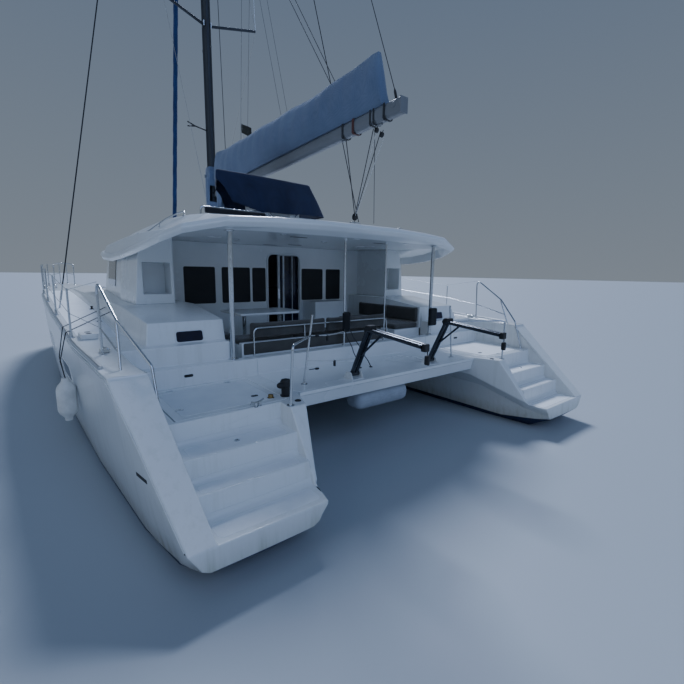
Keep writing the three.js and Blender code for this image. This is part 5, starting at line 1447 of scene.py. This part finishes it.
place("roof_vents", slots, black_plastic)


# Deck gear
# Mooring cleats with turns of line, white pads with black studs, and dark lead eyes on the side decks.
white_pads, chrome, dark_bits, turns = bmesh.new(), bmesh.new(), bmesh.new(), bmesh.new()


def cleat(at, along, long, shape):
    """A horn cleat on two feet, its horns along a direction."""
    at, along = Vector(at), Vector(along).normalized()
    horn = [(-0.5, 0.062), (-0.42, 0.055), (-0.18, 0.046), (0.18, 0.046), (0.42, 0.055), (0.5, 0.062)]
    pipe([at + along * (long * share) + Vector((0, 0, high)) for share, high in horn], 0.011, 12, shape)
    for foot in (at - along * long * 0.15, at + along * long * 0.15):
        pipe([foot, foot + Vector((0, 0, 0.045))], 0.013, 12, shape)
        turned([(0.024, 0.0), (0.024, 0.004), (0.014, 0.008)], foot, (0, 0, 1), 16, shape)


def below(skin, x, y):
    """The point of a surface that a straight line down meets."""
    return landed(skin, (x, y, 3), (0, 0, -1))[0]


PAD_HIGH = 0.06
STUD = [(0.034, -0.002), (0.034, 0.003), (0.020, 0.004), (0.014, 0.001)]
LEAD_EYE = [(0.036, 0.0), (0.036, 0.006), (0.020, 0.012), (0.014, 0.040), (0.024, 0.046), (0.024, 0.054),
            (0.008, 0.058)]
for side, sign in SIDES.items():
    skin = hull_skin[side]
    aft_cleat = below(skin, sign * 3.52, -4.55)
    for foot in (aft_cleat, below(skin, sign * 3.42, 3.9)):
        cleat(foot, (0.1 * sign, 1, 0), 0.26, chrome)
    across = lambda t: math.cos(t) * (0.045 + 0.004 * math.sin(t * 0.37))
    winding = [aft_cleat + Vector((across(t), math.sin(t) * 0.075, 0.014 + t * 0.0011))
               for t in [2 * math.pi * k / 16 for k in range(80)]]
    pipe(winding, 0.0075, 8, turns)
    foot = below(skin, sign * 3.57, -3.63)
    pad = rounded_edge(0.20, 0.28, 0.03, (foot.x, foot.y))
    prism(pad, 2, foot.z - 0.01, foot.z + PAD_HIGH, 0.012, 3, white_pads)
    for y in (-0.075, 0.075):
        turned(STUD, foot + Vector((0, y, PAD_HIGH)), (0, 0, 1), 18, dark_bits)
    for x, y in ((3.30, -2.60), (3.25, -1.45)):
        turned(LEAD_EYE, below(skin, sign * x, y), (0, 0, 1), 20, dark_bits)
place("cleat_pads", white_pads, white_rubber)
place("deck_cleats", chrome, stainless)
place("deck_eyes", dark_bits, black_plastic)
place("mooring_line_turns", turns, white_rope)


# Stern gear
# The port quarter has a shore power inlet by the guard rail, a brass water filler and a mooring eye. The
# fender hangs on two lines over the toe rail, and line bags hang on two of the posts.
inlet = bmesh.new()
STERN_DECK = 1.10
INLET_AT = Vector((-1.935, -5.85, STERN_DECK))
PEDESTAL = [(0.062, 0.0), (0.062, 0.012), (0.048, 0.020), (0.050, 0.10), (0.062, 0.112), (0.062, 0.165),
            (0.050, 0.19), (0.020, 0.20)]
turned(PEDESTAL, INLET_AT, (0, 0, 1), 28, inlet)
plug = [(0.034, 0.0), (0.036, 0.05), (0.026, 0.075), (0.012, 0.082)]
turned(plug, INLET_AT + Vector((-0.04, -0.015, 0.135)), (-1, -0.25, 0.1), 20, inlet)
place("shore_power_inlet", inlet, black_plastic)
# Brass: yellow, rubbed bright where hands touch it
brass = brushed("polished_brass", "#8E7A4E", (0.2, 0.35), 0.02, (1, 1, 1))
filler = bmesh.new()
turned([(0.040, 0.0), (0.040, 0.005), (0.030, 0.009), (0.026, 0.022), (0.032, 0.026), (0.028, 0.038),
        (0.010, 0.042)], (-2.11, -5.82, STERN_DECK), (0, 0, 1), 28, filler)
place("water_filler", filler, brass)
eyes = bmesh.new()
cleat((-2.36, -6.00, STERN_DECK), (1, 0.3, 0), 0.17, eyes)
place("stern_eye", eyes, stainless)

lines, tips = bmesh.new(), bmesh.new()
TRUNK_SIDE = -3.079
for drop, toe, end in (((-3.885, -3.33, 1.35), (-3.815, -3.30, 1.735), (-3.075, -2.05, 1.90)),
                       ((-3.89, -3.50, 1.32), (-3.815, -3.72, 1.715), (-3.075, -2.62, 1.88))):
    pipe(rounded([FENDER_TOP, drop, toe, end], 0.02, 4), 0.0062, 10, lines)
    fairlead = [(0.030, 0.0), (0.030, 0.012), (0.020, 0.022), (0.022, 0.045), (0.010, 0.052)]
    turned(fairlead, (TRUNK_SIDE, *end[1:]), (-1, 0, 0), 18, tips)
place("fender_lines", lines, dark_rope)
place("line_fittings", tips, black_plastic)

# Mesh cloth: black and matt, too open to shine
bag_mesh = woven("black_mesh_cloth", "#202226", "#121315", 0.006,
                 sheen=0.1, rough=0.8, depth=0.001, patch=0.4)
for name, low, high in (("middle", (-0.20, -4.72, 1.55), (-0.03, -4.665, 1.88)),
                        ("starboard", (1.90, -4.75, 1.50), (2.13, -4.675, 1.86))):
    swollen(f"line_bag_{name}", low, high, bag_mesh, 0.008, voxel=0.014)

# Two guard lines run inboard from the port stern rail, each through a plastic hook
guard = bmesh.new()
for high in (1.70, 1.28):
    eye = Vector((-1.33, -5.60, high + 0.005))
    pipe([(-1.43, -5.575, high), eye], 0.006, 8, guard)
    turned([(0.012, -0.02), (0.016, 0.0), (0.012, 0.03)], eye, (1, -0.2, 0), 14, guard)
HOOKS = [(-0.85, -5.17, 1.615), (-0.86, -5.36, 1.285)]
for x, y, z in HOOKS:
    box((x - 0.012, y - 0.02, z - 0.075), (x + 0.012, y + 0.02, z + 0.01), 0.008, 3, guard)
place("guard_hooks", guard, black_plastic)
guard_lines = bmesh.new()
for start, hook, end in zip(((-1.435, -5.578, 1.72), (-1.465, -5.575, 1.40)), HOOKS,
                            ((-0.135, -4.665, 1.56), (-0.30, -5.15, 1.22))):
    pipe([start, hook, end], 0.005, 8, guard_lines)
place("guard_lines", guard_lines, white_rope)
tails = bmesh.new()
for start, foot in (((-0.17, -4.70, 1.60), (-0.33, -5.30, 1.112)),
                    ((-0.07, -4.70, 1.60), (-0.16, -5.35, 1.112))):
    sway = lambda k: Vector((0.006 * math.sin(k * 2.1), 0, 0.005 * math.cos(k * 1.7)))
    path = [Vector(start).lerp(Vector(foot), k / 8) + sway(k) for k in range(9)]
    pipe(path, 0.007, 8, tails)
    turned([(0.026, 0.0), (0.026, 0.008), (0.012, 0.014)], (*foot[:2], STERN_DECK), (0, 0, 1), 16, tails)
place("guard_line_tails", tails, dark_rope)

# The beam's aft edge: a lip, and an undercut face below it
LIP = [(-5.81, 1.0995), (-5.852, 1.0995), (-5.86, 1.09), (-5.86, 1.062), (-5.846, 1.05), (-5.8125, 0.905),
       (-5.81, 0.902)]
place("beam_lip", prism(LIP, 0, -1.745, 1.745, 0.0015, 2), gelcoat)
